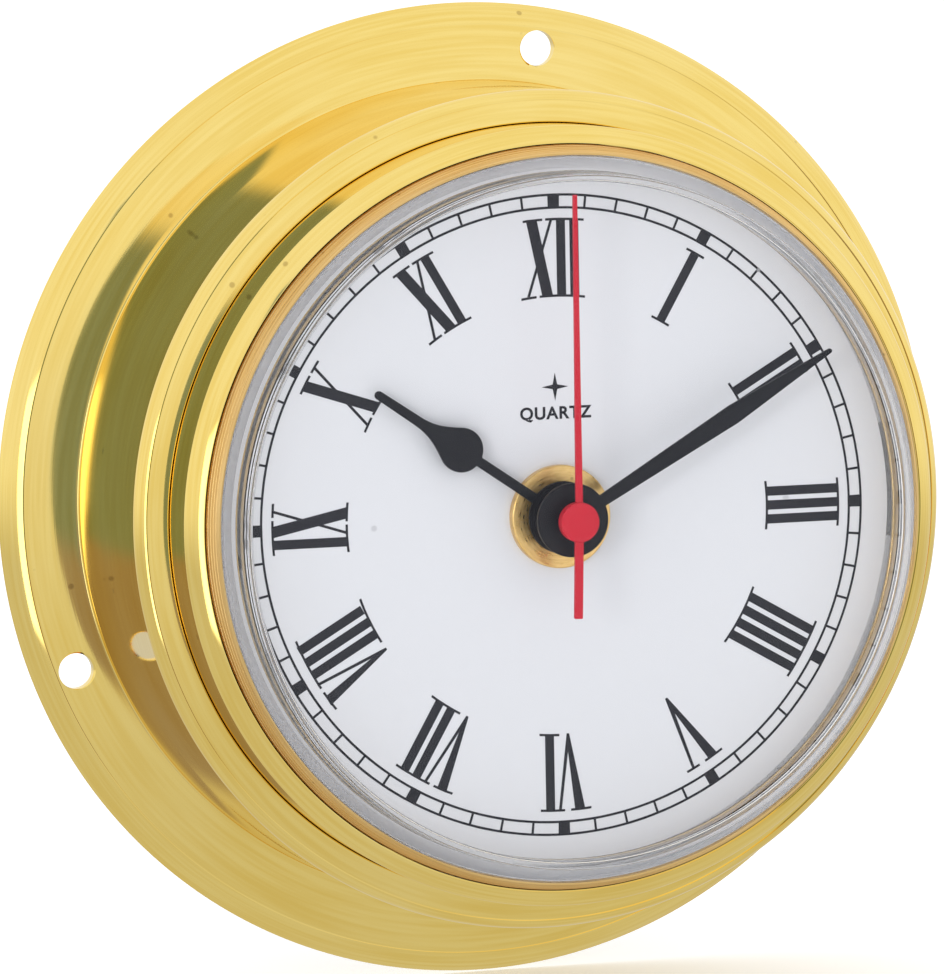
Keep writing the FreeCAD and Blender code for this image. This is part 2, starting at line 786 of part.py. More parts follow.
board_back = 23.6
board_front = 24.4
board_left = -26.6
board_right = -17.0
board_low = -5.8
board_top = 20.8
board_hole = (-24.5, 18.0)
chip_at = (-21.5, 10.0)
chip_ball_r = 4.0          # the resin dome is a slice of this ball
chip_ball_depth = 3.0
crystal_at = (-21.5, -4.0)
crystal_r = 0.95
crystal_length = 6.0
lead_r = 0.15
lead_length = 2.0
lead_half_pitch = 0.4


def movement_frame():
    """Side walls of the moulded case, with the wall between battery bay and wheels."""
    half = movement_half
    inner = half - shell_wall
    plate_back = shell_front - plate_thick
    body = rounded_block(-half, half, -half, half, shell_back, plate_back, movement_corner)
    wheels = rounded_block(-inner, inner, divider_high, inner, shell_back - 1, plate_back + 1, 1.0)
    bay = rounded_block(-inner, inner, -inner, divider_low, shell_back - 1, plate_back + 1, 0.8)
    return body.cut(wheels).cut(bay)


def movement_plate():
    """Front plate of the moulded case, with the threaded stem, the posts and the bearings."""
    half = movement_half
    plate_back = shell_front - plate_thick
    body = rounded_block(-half, half, -half, half, plate_back, shell_front, movement_corner)
    posts = [disc(post_r, bridge_front, plate_back, x, z) for x, z in post_places + pin_places]
    posts += [disc(pin_r, bridge_back, plate_back, x, z) for x, z in pin_places]
    posts.append(disc(minute_post_r, minute_layer - 0.1, plate_back, *minute_at))
    posts.append(disc(stem_r, plate_back, stem_front))
    body = body.fuse(posts).removeSplitter()
    body = body.cut(disc(stem_bore_r, plate_back - 1, stem_front + 1))
    for place in (third_at, intermediate_at, rotor_at, knob_at):
        body = body.cut(disc(pivot_r + running_gap, plate_back - 0.01, plate_back + pivot_depth, *place))
    for x, z in post_places:
        body = body.cut(disc(screw_r, bridge_front - 1, bridge_front + screw_bite + 0.3, x, z))
    return body


def rear_cover():
    """Flat moulded cover over the wheels, with a hole for the setting shaft."""
    half = movement_half
    back = shell_back - cover_thick
    body = block(-half, half, divider_low, half, back, shell_back)
    corners = [e for e in body.Edges
               if abs(e.tangentAt(e.FirstParameter).y) > 0.99 and e.CenterOfMass.z > 0]
    body = body.makeFillet(movement_corner, corners)
    body = body.cut(disc(knob_shaft_r + running_gap, back - 1, shell_back + 1, *knob_at))
    for x, z in post_places:
        body = body.cut(disc(screw_hole, back - 1, shell_back + 1, x, z))
        body = body.cut(disc(sink_r, back - 1, back + sink_deep, x, z))
    return body


def stator_pads():
    left = sum(leg_left) / 2
    right = sum(leg_right) / 2
    return ((left, 8.0), (right, 6.2), (left, coil_z), (right, coil_z))


def wheel_bridge():
    """Rear bearing plate, clamped on four posts and located by two pins."""
    body = block(bridge_left, bridge_right, bridge_low, bridge_right, bridge_back, bridge_front)
    ear = block(bridge_ear, bridge_left, bridge_ear_high, bridge_right, bridge_back, bridge_front)
    body = body.fuse(ear)
    body = body.fuse(block(bridge_ear, bridge_left, bridge_low, bridge_ear_low, bridge_back, bridge_front))
    pads = [disc(pad_r, bridge_front, stator_back, x, z) for x, z in stator_pads()]
    body = body.fuse(pads).removeSplitter()
    holes = [(place, pivot_r + running_gap) for place in (centre, third_at, intermediate_at, rotor_at)]
    holes.append((knob_at, knob_shaft_r + running_gap))
    holes += [(place, pin_r + running_gap) for place in pin_places]
    holes += [(place, screw_hole) for place in post_places]
    for place, radius in holes:
        body = body.cut(disc(radius, bridge_back - 1, bridge_front + 1, *place))
    return body


def stator():
    """Soft-iron plate around the magnet, with two legs up to the coil core."""
    bar = block(leg_left[0], leg_right[1], stator_low, stator_bar_top, stator_back, stator_front)
    legs = [block(x0, x1, stator_low, stator_top, stator_back, stator_front)
            for x0, x1 in (leg_left, leg_right)]
    body = bar.fuse(legs).removeSplitter()
    body = body.cut(disc(stator_bore_r, stator_back - 1, stator_front + 1, *rotor_at))
    return body.cut(disc(arbor_hole_r, stator_back - 1, stator_front + 1, *intermediate_at))


def along_x(r, x0, x1, z, h):
    return Part.makeCylinder(r, x1 - x0, at(x0, z, h), V(1, 0, 0))


def coil_core():
    return block(leg_left[0], leg_right[1], coil_z - core_half, coil_z + core_half,
                 stator_front, stator_front + core_thick)


def coil_bobbin():
    tube = along_x(bobbin_r, coil_x0, coil_x1, coil_z, coil_h)
    flanges = [along_x(bobbin_flange_r, x, x + bobbin_flange_thick, coil_z, coil_h)
               for x in (coil_x0 - bobbin_flange_thick, coil_x1)]
    body = tube.fuse(flanges).removeSplitter()
    return body.cut(coil_core())


def coil_winding():
    winding = along_x(winding_r, coil_x0, coil_x1, coil_z, coil_h)
    return winding.cut(along_x(bobbin_r, coil_x0 - 1, coil_x1 + 1, coil_z, coil_h))


def circuit_board():
    body = block(board_left, board_right, board_low, board_top, board_back, board_front)
    return body.cut(disc(screw_hole, board_back - 1, board_front + 1, *board_hole))


def controller_chip():
    """Domed resin blob over the chip, on the rear of the board."""
    ball = Part.makeSphere(chip_ball_r, at(*chip_at, board_back + chip_ball_depth))
    return ball.common(block(board_left, board_right, board_low, board_top, board_back - 2, board_back))


def quartz_crystal():
    """Tuning-fork crystal can with its two leads, lying on the rear of the board."""
    x, z = crystal_at
    can = Part.makeCylinder(crystal_r, crystal_length, at(x, z, board_back - crystal_r), V(0, 0, 1))
    lead_h = board_back - lead_r - 0.4
    leads = [Part.makeCylinder(lead_r, lead_length, at(x + side * lead_half_pitch, z + crystal_length, lead_h),
                               V(0, 0, 1)) for side in (-1, 1)]
    return can.fuse(leads).removeSplitter()


# ================================================================ battery
def battery():
    """AA cell lying across the lower part of the movement, button towards three o'clock."""
    x0 = -battery_length / 2
    case = along_x(battery_r, x0, -x0 - button_proud, battery_z, battery_h)
    case = case.makeFillet(battery_edge, case.Edges)
    button = along_x(button_r, 0, -x0, battery_z, battery_h)
    return case.fuse(button).removeSplitter()


def contact_plus():
    """Sprung leaf against the button: a plate on the bay wall with a pressed dimple."""
    wall = movement_half - shell_wall
    plate = block(wall - leaf_thick, wall, battery_z - leaf_half_width, battery_z + leaf_half_width,
                  battery_h - leaf_half_height, battery_h + leaf_half_height)
    dimple = along_x(dimple_r, wall - leaf_thick - dimple_proud, wall - leaf_thick, battery_z, battery_h)
    return plate.fuse(dimple).removeSplitter()


def contact_minus():
    """Plate with a short coil spring against the flat end of the cell."""
    wall = -(movement_half - shell_wall)
    plate = block(wall, wall + leaf_thick, battery_z - leaf_half_width, battery_z + leaf_half_width,
                  battery_h - leaf_half_height, battery_h + leaf_half_height)
    turns = []
    for i in range(spring_turns):
        x = wall + leaf_thick + spring_wire_r - 0.09 + spring_pitch * i
        turns.append(Part.makeTorus(spring_r - spring_taper * i, spring_wire_r, at(x, battery_z, battery_h),
                                    V(1, 0, 0)))
    return plate.fuse(turns).removeSplitter()


def movement_screws():
    """Four small screws through cover and bridge into the posts."""
    seat = shell_back - cover_thick + sink_deep
    back = seat - screw_head_thick
    screws = []
    for x, z in post_places:
        head = disc(screw_head_r, back, seat, x, z)
        slot = block(x - 2, x + 2, z - screw_slot_half, z + screw_slot_half, back - 1, back + screw_slot_deep)
        shank = disc(screw_r, seat, bridge_front + screw_bite, x, z)
        screws.append(head.cut(slot).fuse(shank).removeSplitter())
    return Part.makeCompound(screws)


pieces = (
    base_flange, snap_ring, swivel_bush, o_ring,
    head_case, retaining_ring, lens, lens_seal, dial_plate, dial_seat, dial_nut, rubber_washer,
    hour_hand, minute_hand, second_hand,
    seconds_wheel, third_wheel, centre_wheel, cannon_pinion, minute_wheel, hour_wheel,
    intermediate_wheel, rotor_pinion, rotor_magnet, setting_knob,
    movement_frame, movement_plate, rear_cover, wheel_bridge, stator, coil_core, coil_bobbin, coil_winding,
    circuit_board, controller_chip, quartz_crystal,
    battery, contact_plus, contact_minus, movement_screws,
)

for make in pieces:
    shape = make()
    for solid in shape.Solids:
        assert solid.isValid() and solid.Volume > 0, make.__name__
    export(shape, make.__name__)
    print(make.__name__, len(shape.Solids), round(shape.Volume, 2))
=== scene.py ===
import json
import math

import bmesh
import bpy
from mathutils import Matrix, Vector

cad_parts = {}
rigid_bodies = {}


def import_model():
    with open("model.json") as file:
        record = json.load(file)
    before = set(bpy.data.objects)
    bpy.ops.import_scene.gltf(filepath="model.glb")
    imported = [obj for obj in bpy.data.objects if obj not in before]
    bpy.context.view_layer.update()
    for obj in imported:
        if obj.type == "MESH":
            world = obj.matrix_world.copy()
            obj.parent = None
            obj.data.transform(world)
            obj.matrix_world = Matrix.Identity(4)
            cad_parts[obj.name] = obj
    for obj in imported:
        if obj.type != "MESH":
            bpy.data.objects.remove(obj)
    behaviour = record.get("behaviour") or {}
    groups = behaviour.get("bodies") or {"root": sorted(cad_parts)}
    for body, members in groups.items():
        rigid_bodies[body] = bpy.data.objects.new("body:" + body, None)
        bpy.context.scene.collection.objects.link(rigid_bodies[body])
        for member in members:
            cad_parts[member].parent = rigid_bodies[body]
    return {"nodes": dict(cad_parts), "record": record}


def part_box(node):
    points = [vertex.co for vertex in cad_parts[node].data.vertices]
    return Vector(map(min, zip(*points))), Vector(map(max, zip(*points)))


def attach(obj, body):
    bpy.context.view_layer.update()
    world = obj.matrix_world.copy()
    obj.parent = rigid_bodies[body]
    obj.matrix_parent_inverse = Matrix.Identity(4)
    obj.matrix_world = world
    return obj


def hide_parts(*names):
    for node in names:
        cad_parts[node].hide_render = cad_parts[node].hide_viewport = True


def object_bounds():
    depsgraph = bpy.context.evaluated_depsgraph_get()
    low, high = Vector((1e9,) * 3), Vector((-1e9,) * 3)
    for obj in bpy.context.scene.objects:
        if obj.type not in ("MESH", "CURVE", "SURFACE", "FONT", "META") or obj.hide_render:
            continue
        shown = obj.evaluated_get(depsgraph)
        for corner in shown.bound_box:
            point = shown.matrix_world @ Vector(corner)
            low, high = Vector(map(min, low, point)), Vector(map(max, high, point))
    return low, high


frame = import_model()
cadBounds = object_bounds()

mm = 0.001
nodes = frame["nodes"]
scene = bpy.context.scene
scene.view_settings.view_transform = "Standard"
print("frame loaded:", len(nodes), "CAD nodes")


# a value is another node's output, a number, a vector, or a colour as three numbers
def feed(tree, value, socket):
    if isinstance(value, bpy.types.NodeSocket):
        tree.links.new(value, socket)
    elif socket.type == "RGBA":
        socket.default_value = (*value, 1.0)
    else:
        socket.default_value = value


def feedAll(tree, values, sockets):
    for label, value in values.items():
        feed(tree, value, sockets[label])


def add(tree, kind, given=None, **settings):
    node = tree.nodes.new("ShaderNode" + kind)
    for key, value in settings.items():
        setattr(node, key, value)
    feedAll(tree, given or {}, node.inputs)
    return node


def calc(tree, operation, *given):
    return add(tree, "Math", dict(enumerate(given)), operation=operation).outputs[0]


def calcVector(tree, operation, *given):
    return add(tree, "VectorMath", dict(enumerate(given)), operation=operation).outputs


def blendColours(tree, share, a, b):
    return add(tree, "Mix", {0: share, 6: a, 7: b}, data_type="RGBA").outputs[2]


def spread(tree, value, low, high, outLow=0.0, outHigh=1.0):
    given = {"Value": value, "From Min": low, "From Max": high, "To Min": outLow, "To Max": outHigh}
    return add(tree, "MapRange", given, interpolation_type="SMOOTHSTEP").outputs["Result"]


def noise(tree, where, scale, detail=2.0, distortion=0.0):
    given = {"Vector": where, "Scale": scale, "Detail": detail, "Distortion": distortion}
    return add(tree, "TexNoise", given).outputs["Fac"]


def relief(tree, height, strength, depth, under=None):
    given = {"Strength": strength, "Distance": depth, "Height": height}
    if under is not None:
        given["Normal"] = under
    return add(tree, "Bump", given).outputs["Normal"]


def ownPlace(tree):
    return add(tree, "TexCoord").outputs["Object"]


def apart(tree, vector):
    return add(tree, "SeparateXYZ", {0: vector}).outputs


def together(tree, **axes):
    return add(tree, "CombineXYZ", axes).outputs[0]


def startGroup(name, outputs, **inputs):
    group = bpy.data.node_groups.new(name, "ShaderNodeTree")
    for label, value in inputs.items():
        socket = group.interface.new_socket(name=label, in_out="INPUT", socket_type="NodeSocketFloat")
        socket.default_value = value
    for label, kind in outputs.items():
        group.interface.new_socket(name=label, in_out="OUTPUT", socket_type="NodeSocket" + kind)
    return group, group.nodes.new("NodeGroupInput").outputs, group.nodes.new("NodeGroupOutput").inputs


def place(tree, group, **values):
    node = tree.nodes.new("ShaderNodeGroup")
    node.node_tree = group
    feedAll(tree, values, node.inputs)
    return node.outputs


# rings that a lathe or a spinning tool leaves round the clock's axis, and streaks that run with them
def makeLatheLines():
    group, given, result = startGroup("latheLines", {"lines": "Float", "streaks": "Float"},
                                      pitch=0.0003, patches=5.0)
    depthShare, streakShare = 1.3, 0.6
    where = apart(group, ownPlace(group))
    across = calc(group, "POWER", where["X"], 2.0)
    up = calc(group, "POWER", where["Z"], 2.0)
    radius = calc(group, "SQRT", calc(group, "ADD", across, up))
    along = calc(group, "ADD", radius, calc(group, "MULTIPLY", where["Y"], depthShare))
    turns = calc(group, "DIVIDE", along, given["pitch"])
    lines = add(group, "TexNoise", {"W": turns, "Scale": 1.0, "Detail": 3.0}, noise_dimensions="1D")
    turn = calc(group, "ARCTAN2", where["Z"], where["X"])
    around = together(group, X=calc(group, "MULTIPLY", calc(group, "COSINE", turn), given["patches"]),
                      Y=calc(group, "MULTIPLY", calc(group, "SINE", turn), given["patches"]),
                      Z=calc(group, "MULTIPLY", turns, streakShare))
    feedAll(group, {"lines": lines.outputs["Fac"], "streaks": noise(group, around, 1.0)}, result)
    return group


# broad patches left by hands and lacquer, and rare small specks of dust or pitting
def makeHandling():
    group, given, result = startGroup("handling", {"patches": "Float", "specks": "Float"},
                                      patchScale=60.0, speckScale=700.0, speckShare=0.2)
    where = ownPlace(group)
    specks = add(group, "TexVoronoi", {"Vector": where, "Scale": given["speckScale"]}).outputs
    near = spread(group, specks["Distance"], 0.10, 0.20, 1.0, 0.0)
    pick = add(group, "SeparateColor", {0: specks["Color"]}).outputs[0]
    chosen = calc(group, "LESS_THAN", pick, given["speckShare"])
    feedAll(group, {"patches": noise(group, where, given["patchScale"], 4.0),
                    "specks": calc(group, "MULTIPLY", near, chosen)}, result)
    return group


# the fine spark texture and slow tone changes of a plastic moulding
def makeMouldGrain():
    group, given, result = startGroup("mouldGrain", {"grain": "Float", "flow": "Float"},
                                      grainScale=2500.0, flowScale=90.0)
    where = ownPlace(group)
    feedAll(group, {"grain": noise(group, where, given["grainScale"]),
                    "flow": noise(group, where, given["flowScale"], distortion=1.2)}, result)
    return group


# a mask that is bright along the sharp edges of a piece
def makeEdgeWear():
    group, given, result = startGroup("edgeWear", {"edge": "Float"}, reach=0.0002, ragged=400.0)
    soft = add(group, "Bevel", {"Radius": given["reach"]}, samples=4).outputs["Normal"]
    own = add(group, "NewGeometry").outputs["Normal"]
    match = calcVector(group, "DOT_PRODUCT", soft, own)["Value"]
    bare = spread(group, match, 0.80, 0.99, 1.0, 0.0)
    broken = spread(group, noise(group, ownPlace(group), given["ragged"]), 0.35, 0.6)
    feed(group, calc(group, "MULTIPLY", bare, broken), result["edge"])
    return group


# the normal of a truly round surface about the clock's axis; walls that don't run round it keep their own
def makeTrueRound():
    group, given, result = startGroup("trueRound", {"normal": "Vector"}, widest=0.25)
    own = add(group, "NewGeometry").outputs["Normal"]
    sideOnly = calcVector(group, "MULTIPLY", ownPlace(group), (1.0, 0.0, 1.0))[0]
    outward = calcVector(group, "NORMALIZE", sideOnly)[0]
    lean = calcVector(group, "DOT_PRODUCT", own, outward)["Value"]
    leans = together(group, X=lean, Y=lean, Z=lean)
    depth = together(group, Y=apart(group, own)["Y"])
    built = calcVector(group, "MULTIPLY_ADD", outward, leans, depth)[0]
    length = calcVector(group, "LENGTH", built)["Value"]
    sideways = calc(group, "SQRT", calc(group, "SUBTRACT", 1.0, calc(group, "POWER", length, 2.0)))
    keep = calc(group, "LESS_THAN", sideways, given["widest"])
    chosen = add(group, "Mix", {0: keep, 4: own, 5: built}, data_type="VECTOR").outputs[1]
    feed(group, calcVector(group, "NORMALIZE", chosen)[0], result["normal"])
    return group


latheLines = makeLatheLines()
trueRound = makeTrueRound()
handling = makeHandling()
mouldGrain = makeMouldGrain()
edgeWear = makeEdgeWear()
print("shader groups ready")


def newMaterial(name):
    material = bpy.data.materials.new(name)
    material.use_nodes = True
    tree = material.node_tree
    tree.nodes.clear()
    surface = add(tree, "BsdfPrincipled")
    add(tree, "OutputMaterial", {"Surface": surface.outputs[0]})
    return material, tree, surface.inputs


def brassFinish(name, look):
    material, tree, surface = newMaterial(name)
    rings = place(tree, latheLines, pitch=look["pitch"], patches=look["patches"])
    hands = place(tree, handling, patchScale=look["patchScale"], speckScale=look["speckScale"],
                  speckShare=look["speckShare"])
    tone = blendColours(tree, spread(tree, rings["streaks"], 0.3, 0.7), look["deep"], look["colour"])
    cloudy = calc(tree, "MULTIPLY", spread(tree, hands["patches"], 0.35, 0.75), look["cloud"])
    tone = blendColours(tree, cloudy, tone, look["lacquer"])
    tone = blendColours(tree, calc(tree, "MULTIPLY", hands["specks"], 0.5), tone, look["speck"])
    rough = spread(tree, rings["streaks"], 0.25, 0.75, *look["rough"])
    smear = calc(tree, "MULTIPLY", spread(tree, hands["patches"], 0.4, 0.7), look["smear"])
    height = calc(tree, "ADD", rings["lines"], calc(tree, "MULTIPLY", hands["specks"], -0.6))
    fair = place(tree, trueRound, widest=0.25)["normal"]
    feedAll(tree, {"Base Color": tone, "Metallic": 1.0, "Roughness": calc(tree, "ADD", rough, smear),
                   "Normal": relief(tree, height, look["relief"], look["depth"], fair)}, surface)
    return material


polishedBrass = brassFinish("polishedBrass", {
    "colour": (0.965, 0.745, 0.235), "deep": (0.90, 0.655, 0.165), "lacquer": (0.98, 0.79, 0.31),
    "speck": (0.35, 0.22, 0.06), "pitch": 0.00045, "patches": 3.0, "patchScale": 45.0, "speckScale": 420.0,
    "speckShare": 0.05, "cloud": 0.35, "rough": (0.04, 0.065), "smear": 0.02, "relief": 0.05,
    "depth": 0.00002})
turnedBrass = brassFinish("turnedBrass", {
    "colour": (0.88, 0.61, 0.25), "deep": (0.72, 0.46, 0.16), "lacquer": (0.92, 0.68, 0.32),
    "speck": (0.30, 0.17, 0.05), "pitch": 0.00018, "patches": 4.0, "patchScale": 60.0, "speckScale": 700.0,
    "speckShare": 0.08, "cloud": 0.3, "rough": (0.26, 0.36), "smear": 0.05, "relief": 0.35,
    "depth": 0.00004})
trainBrass = brassFinish("trainBrass", {
    "colour": (0.86, 0.60, 0.24), "deep": (0.70, 0.45, 0.15), "lacquer": (0.88, 0.66, 0.30),
    "speck": (0.28, 0.17, 0.05), "pitch": 0.00012, "patches": 5.0, "patchScale": 120.0,
    "speckScale": 1500.0, "speckShare": 0.1, "cloud": 0.25, "rough": (0.2, 0.3), "smear": 0.04,
    "relief": 0.3, "depth": 0.00002})


def steelFinish(name, look):
    material, tree, surface = newMaterial(name)
    hands = place(tree, handling, patchScale=look["patchScale"], speckScale=look["speckScale"],
                  speckShare=look["speckShare"])
    worn = place(tree, edgeWear, reach=0.00015, ragged=900.0)
    rolled = add(tree, "Mapping", {"Vector": ownPlace(tree), "Scale": look["rolled"]}).outputs[0]
    brushed = noise(tree, rolled, 1.0, 3.0)
    tone = blendColours(tree, hands["patches"], look["colour"], look["deep"])
    tone = blendColours(tree, hands["specks"], tone, look["speck"])
    tone = blendColours(tree, worn["edge"], tone, look["bare"])
    feedAll(tree, {"Base Color": tone, "Metallic": 1.0,
                   "Roughness": spread(tree, brushed, 0.3, 0.7, *look["rough"]),
                   "Normal": relief(tree, brushed, look["relief"], 0.00002)}, surface)
    return material


springSteel = steelFinish("springSteel", {
    "colour": (0.42, 0.42, 0.44), "deep": (0.30, 0.30, 0.33), "bare": (0.6, 0.6, 0.62),
    "speck": (0.16, 0.11, 0.07), "rolled": (300.0, 4000.0, 4000.0), "patchScale": 90.0, "speckScale": 900.0,
    "speckShare": 0.1, "rough": (0.24, 0.4), "relief": 0.3})
brightSteel = steelFinish("brightSteel", {
    "colour": (0.66, 0.66, 0.68), "deep": (0.54, 0.54, 0.57), "bare": (0.8, 0.8, 0.8),
    "speck": (0.3, 0.27, 0.2), "rolled": (900.0, 2500.0, 900.0), "patchScale": 150.0, "speckScale": 1500.0,
    "speckShare": 0.08, "rough": (0.16, 0.28), "relief": 0.2})
contactMetal = steelFinish("contactMetal", {
    "colour": (0.70, 0.67, 0.60), "deep": (0.58, 0.55, 0.47), "bare": (0.80, 0.73, 0.55),
    "speck": (0.3, 0.25, 0.15), "rolled": (1500.0, 500.0, 3000.0), "patchScale": 130.0,
    "speckScale": 1200.0, "speckShare": 0.12, "rough": (0.2, 0.34), "relief": 0.25})
ferrite = steelFinish("ferrite", {
    "colour": (0.085, 0.085, 0.095), "deep": (0.05, 0.05, 0.058), "bare": (0.16, 0.16, 0.17),
    "speck": (0.02, 0.02, 0.02), "rolled": (3000.0, 3000.0, 3000.0), "patchScale": 300.0,
    "speckScale": 2500.0, "speckShare": 0.3, "rough": (0.42, 0.6), "relief": 0.5})


def plasticFinish(name, look):
    material, tree, surface = newMaterial(name)
    mould = place(tree, mouldGrain, grainScale=look["grainScale"], flowScale=look["flowScale"])
    worn = place(tree, edgeWear, reach=look["wearReach"], ragged=500.0)
    hands = place(tree, handling, patchScale=70.0, speckScale=look["dustScale"], speckShare=look["dustShare"])
    tone = blendColours(tree, mould["flow"], look["colour"], look["second"])
    tone = blendColours(tree, calc(tree, "MULTIPLY", worn["edge"], look["wear"]), tone, look["bare"])
    tone = blendColours(tree, calc(tree, "MULTIPLY", hands["specks"], look["dust"]), tone, look["dustColour"])
    feedAll(tree, {"Base Color": tone, "Roughness": spread(tree, hands["patches"], 0.3, 0.7, *look["rough"]),
                   "Specular IOR Level": look.get("specular", 0.5),
                   "Normal": relief(tree, mould["grain"], look["relief"], 0.00002)}, surface)
    return material


dustGrey = (0.55, 0.54, 0.52)
blackNylon = plasticFinish("blackNylon", {
    "colour": (0.012, 0.012, 0.014), "second": (0.02, 0.02, 0.023), "bare": (0.06, 0.06, 0.065),
    "dustColour": dustGrey, "grainScale": 1800.0, "flowScale": 60.0, "dustScale": 1100.0, "dustShare": 0.06,
    "dust": 0.35, "wear": 0.5, "wearReach": 0.0003, "rough": (0.36, 0.52), "relief": 0.35})
blackPlastic = plasticFinish("blackPlastic", {
    "colour": (0.010, 0.010, 0.012), "second": (0.018, 0.018, 0.021), "bare": (0.075, 0.075, 0.08),
    "dustColour": dustGrey, "grainScale": 3200.0, "flowScale": 80.0, "dustScale": 900.0, "dustShare": 0.08,
    "dust": 0.4, "wear": 0.6, "wearReach": 0.0003, "rough": (0.45, 0.62), "relief": 0.6})
greyPlastic = plasticFinish("greyPlastic", {
    "colour": (0.072, 0.076, 0.082), "second": (0.095, 0.098, 0.104), "bare": (0.2, 0.2, 0.21),
    "dustColour": dustGrey, "grainScale": 2200.0, "flowScale": 110.0, "dustScale": 1400.0,
    "dustShare": 0.05, "dust": 0.3, "wear": 0.4, "wearReach": 0.0002, "rough": (0.4, 0.5), "relief": 0.35})
whiteNylon = plasticFinish("whiteNylon", {
    "colour": (0.64, 0.63, 0.57), "second": (0.72, 0.71, 0.66), "bare": (0.8, 0.8, 0.77),
    "dustColour": (0.3, 0.28, 0.24), "grainScale": 2600.0, "flowScale": 150.0, "dustScale": 1800.0,
    "dustShare": 0.05, "dust": 0.3, "wear": 0.4, "wearReach": 0.0001, "rough": (0.38, 0.5), "relief": 0.2})
blackRubber = plasticFinish("blackRubber", {
    "colour": (0.009, 0.009, 0.009), "second": (0.02, 0.019, 0.018), "bare": (0.05, 0.05, 0.05),
    "dustColour": dustGrey, "grainScale": 1500.0, "flowScale": 200.0, "dustScale": 1600.0,
    "dustShare": 0.15, "dust": 0.4, "wear": 0.5, "wearReach": 0.0002, "rough": (0.7, 0.85), "relief": 0.5})
blackResin = plasticFinish("blackResin", {
    "colour": (0.006, 0.006, 0.007), "second": (0.011, 0.011, 0.012), "bare": (0.03, 0.03, 0.03),
    "dustColour": dustGrey, "grainScale": 900.0, "flowScale": 400.0, "dustScale": 2200.0, "dustShare": 0.1,
    "dust": 0.4, "wear": 0.3, "wearReach": 0.0001, "rough": (0.12, 0.22), "relief": 0.1})
handEnamel = plasticFinish("handEnamel", {
    "colour": (0.010, 0.011, 0.015), "second": (0.014, 0.015, 0.02), "bare": (0.16, 0.16, 0.17),
    "dustColour": (0.75, 0.75, 0.75), "grainScale": 2800.0, "flowScale": 120.0, "dustScale": 900.0,
    "dustShare": 0.05, "dust": 0.35, "wear": 0.35, "wearReach": 0.00008, "rough": (0.34, 0.44),
    "relief": 0.15, "specular": 0.2})
redPlastic = plasticFinish("redPlastic", {
    "colour": (0.56, 0.014, 0.032), "second": (0.62, 0.02, 0.04), "bare": (0.78, 0.10, 0.13),
    "dustColour": (0.85, 0.6, 0.6), "grainScale": 2400.0, "flowScale": 150.0, "dustScale": 1300.0,
    "dustShare": 0.04, "dust": 0.3, "wear": 0.35, "wearReach": 0.00008, "rough": (0.3, 0.4), "relief": 0.15,
    "specular": 0.25})


# cool white enamel, dished a little by the press and spotted with a few grains of dust
def makeDialEnamel():
    look = {"colour": (0.79, 0.80, 0.825), "second": (0.77, 0.78, 0.805), "dust": (0.45, 0.45, 0.47),
            "rough": (0.34, 0.42)}
    material, tree, surface = newMaterial("dialEnamel")
    mould = place(tree, mouldGrain, grainScale=1500.0, flowScale=18.0)
    hands = place(tree, handling, patchScale=25.0, speckScale=330.0, speckShare=0.012)
    tone = blendColours(tree, mould["flow"], look["colour"], look["second"])
    tone = blendColours(tree, calc(tree, "MULTIPLY", hands["specks"], 0.5), tone, look["dust"])
    feedAll(tree, {"Base Color": tone, "Roughness": spread(tree, hands["patches"], 0.3, 0.7, *look["rough"]),
                   "Specular IOR Level": 0.3, "Normal": relief(tree, mould["grain"], 0.08, 0.00001)}, surface)
    return material


# screen-printed ink, a little thinner in places
def makeInk():
    look = {"colour": (0.014, 0.015, 0.021), "thin": (0.026, 0.027, 0.035)}
    material, tree, surface = newMaterial("printedInk")
    mould = place(tree, mouldGrain, grainScale=4000.0, flowScale=500.0)
    feedAll(tree, {"Base Color": blendColours(tree, mould["flow"], look["colour"], look["thin"]),
                   "Roughness": spread(tree, mould["flow"], 0.3, 0.7, 0.42, 0.55), "Specular IOR Level": 0.3,
                   "Normal": relief(tree, mould["grain"], 0.25, 0.00001)}, surface)
    return material


# clear acrylic: it lets shadow rays through, so that the lamps reach the dial
def makeAcrylic():
    look = {"tint": (0.985, 0.99, 0.995), "haze": (0.94, 0.95, 0.96), "ior": 1.491,
            "coating": (0.16, 0.16, 0.17), "passing": (0.95, 0.95, 0.955)}
    material, tree, surface = newMaterial("clearAcrylic")
    hands = place(tree, handling, patchScale=40.0, speckScale=300.0, speckShare=0.02)
    rings = place(tree, latheLines, pitch=0.0006, patches=2.0)
    haze = calc(tree, "MULTIPLY", hands["patches"], 0.3)
    feedAll(tree, {"Base Color": blendColours(tree, haze, look["tint"], look["haze"]),
                   "Roughness": spread(tree, hands["specks"], 0.0, 1.0, 0.0, 0.25),
                   "Transmission Weight": 1.0, "IOR": look["ior"], "Specular Tint": look["coating"],
                   "Normal": relief(tree, rings["lines"], 0.04, 0.00001)}, surface)
    clear = add(tree, "BsdfTransparent", {"Color": look["passing"]}).outputs[0]
    rays = add(tree, "LightPath").outputs
    either = calc(tree, "MAXIMUM", rays["Is Shadow Ray"], rays["Is Diffuse Ray"])
    glass = tree.nodes["Principled BSDF"].outputs[0]
    choose = add(tree, "MixShader", {"Fac": either, 1: glass, 2: clear})
    tree.links.new(choose.outputs[0], tree.nodes["Material Output"].inputs["Surface"])
    return material


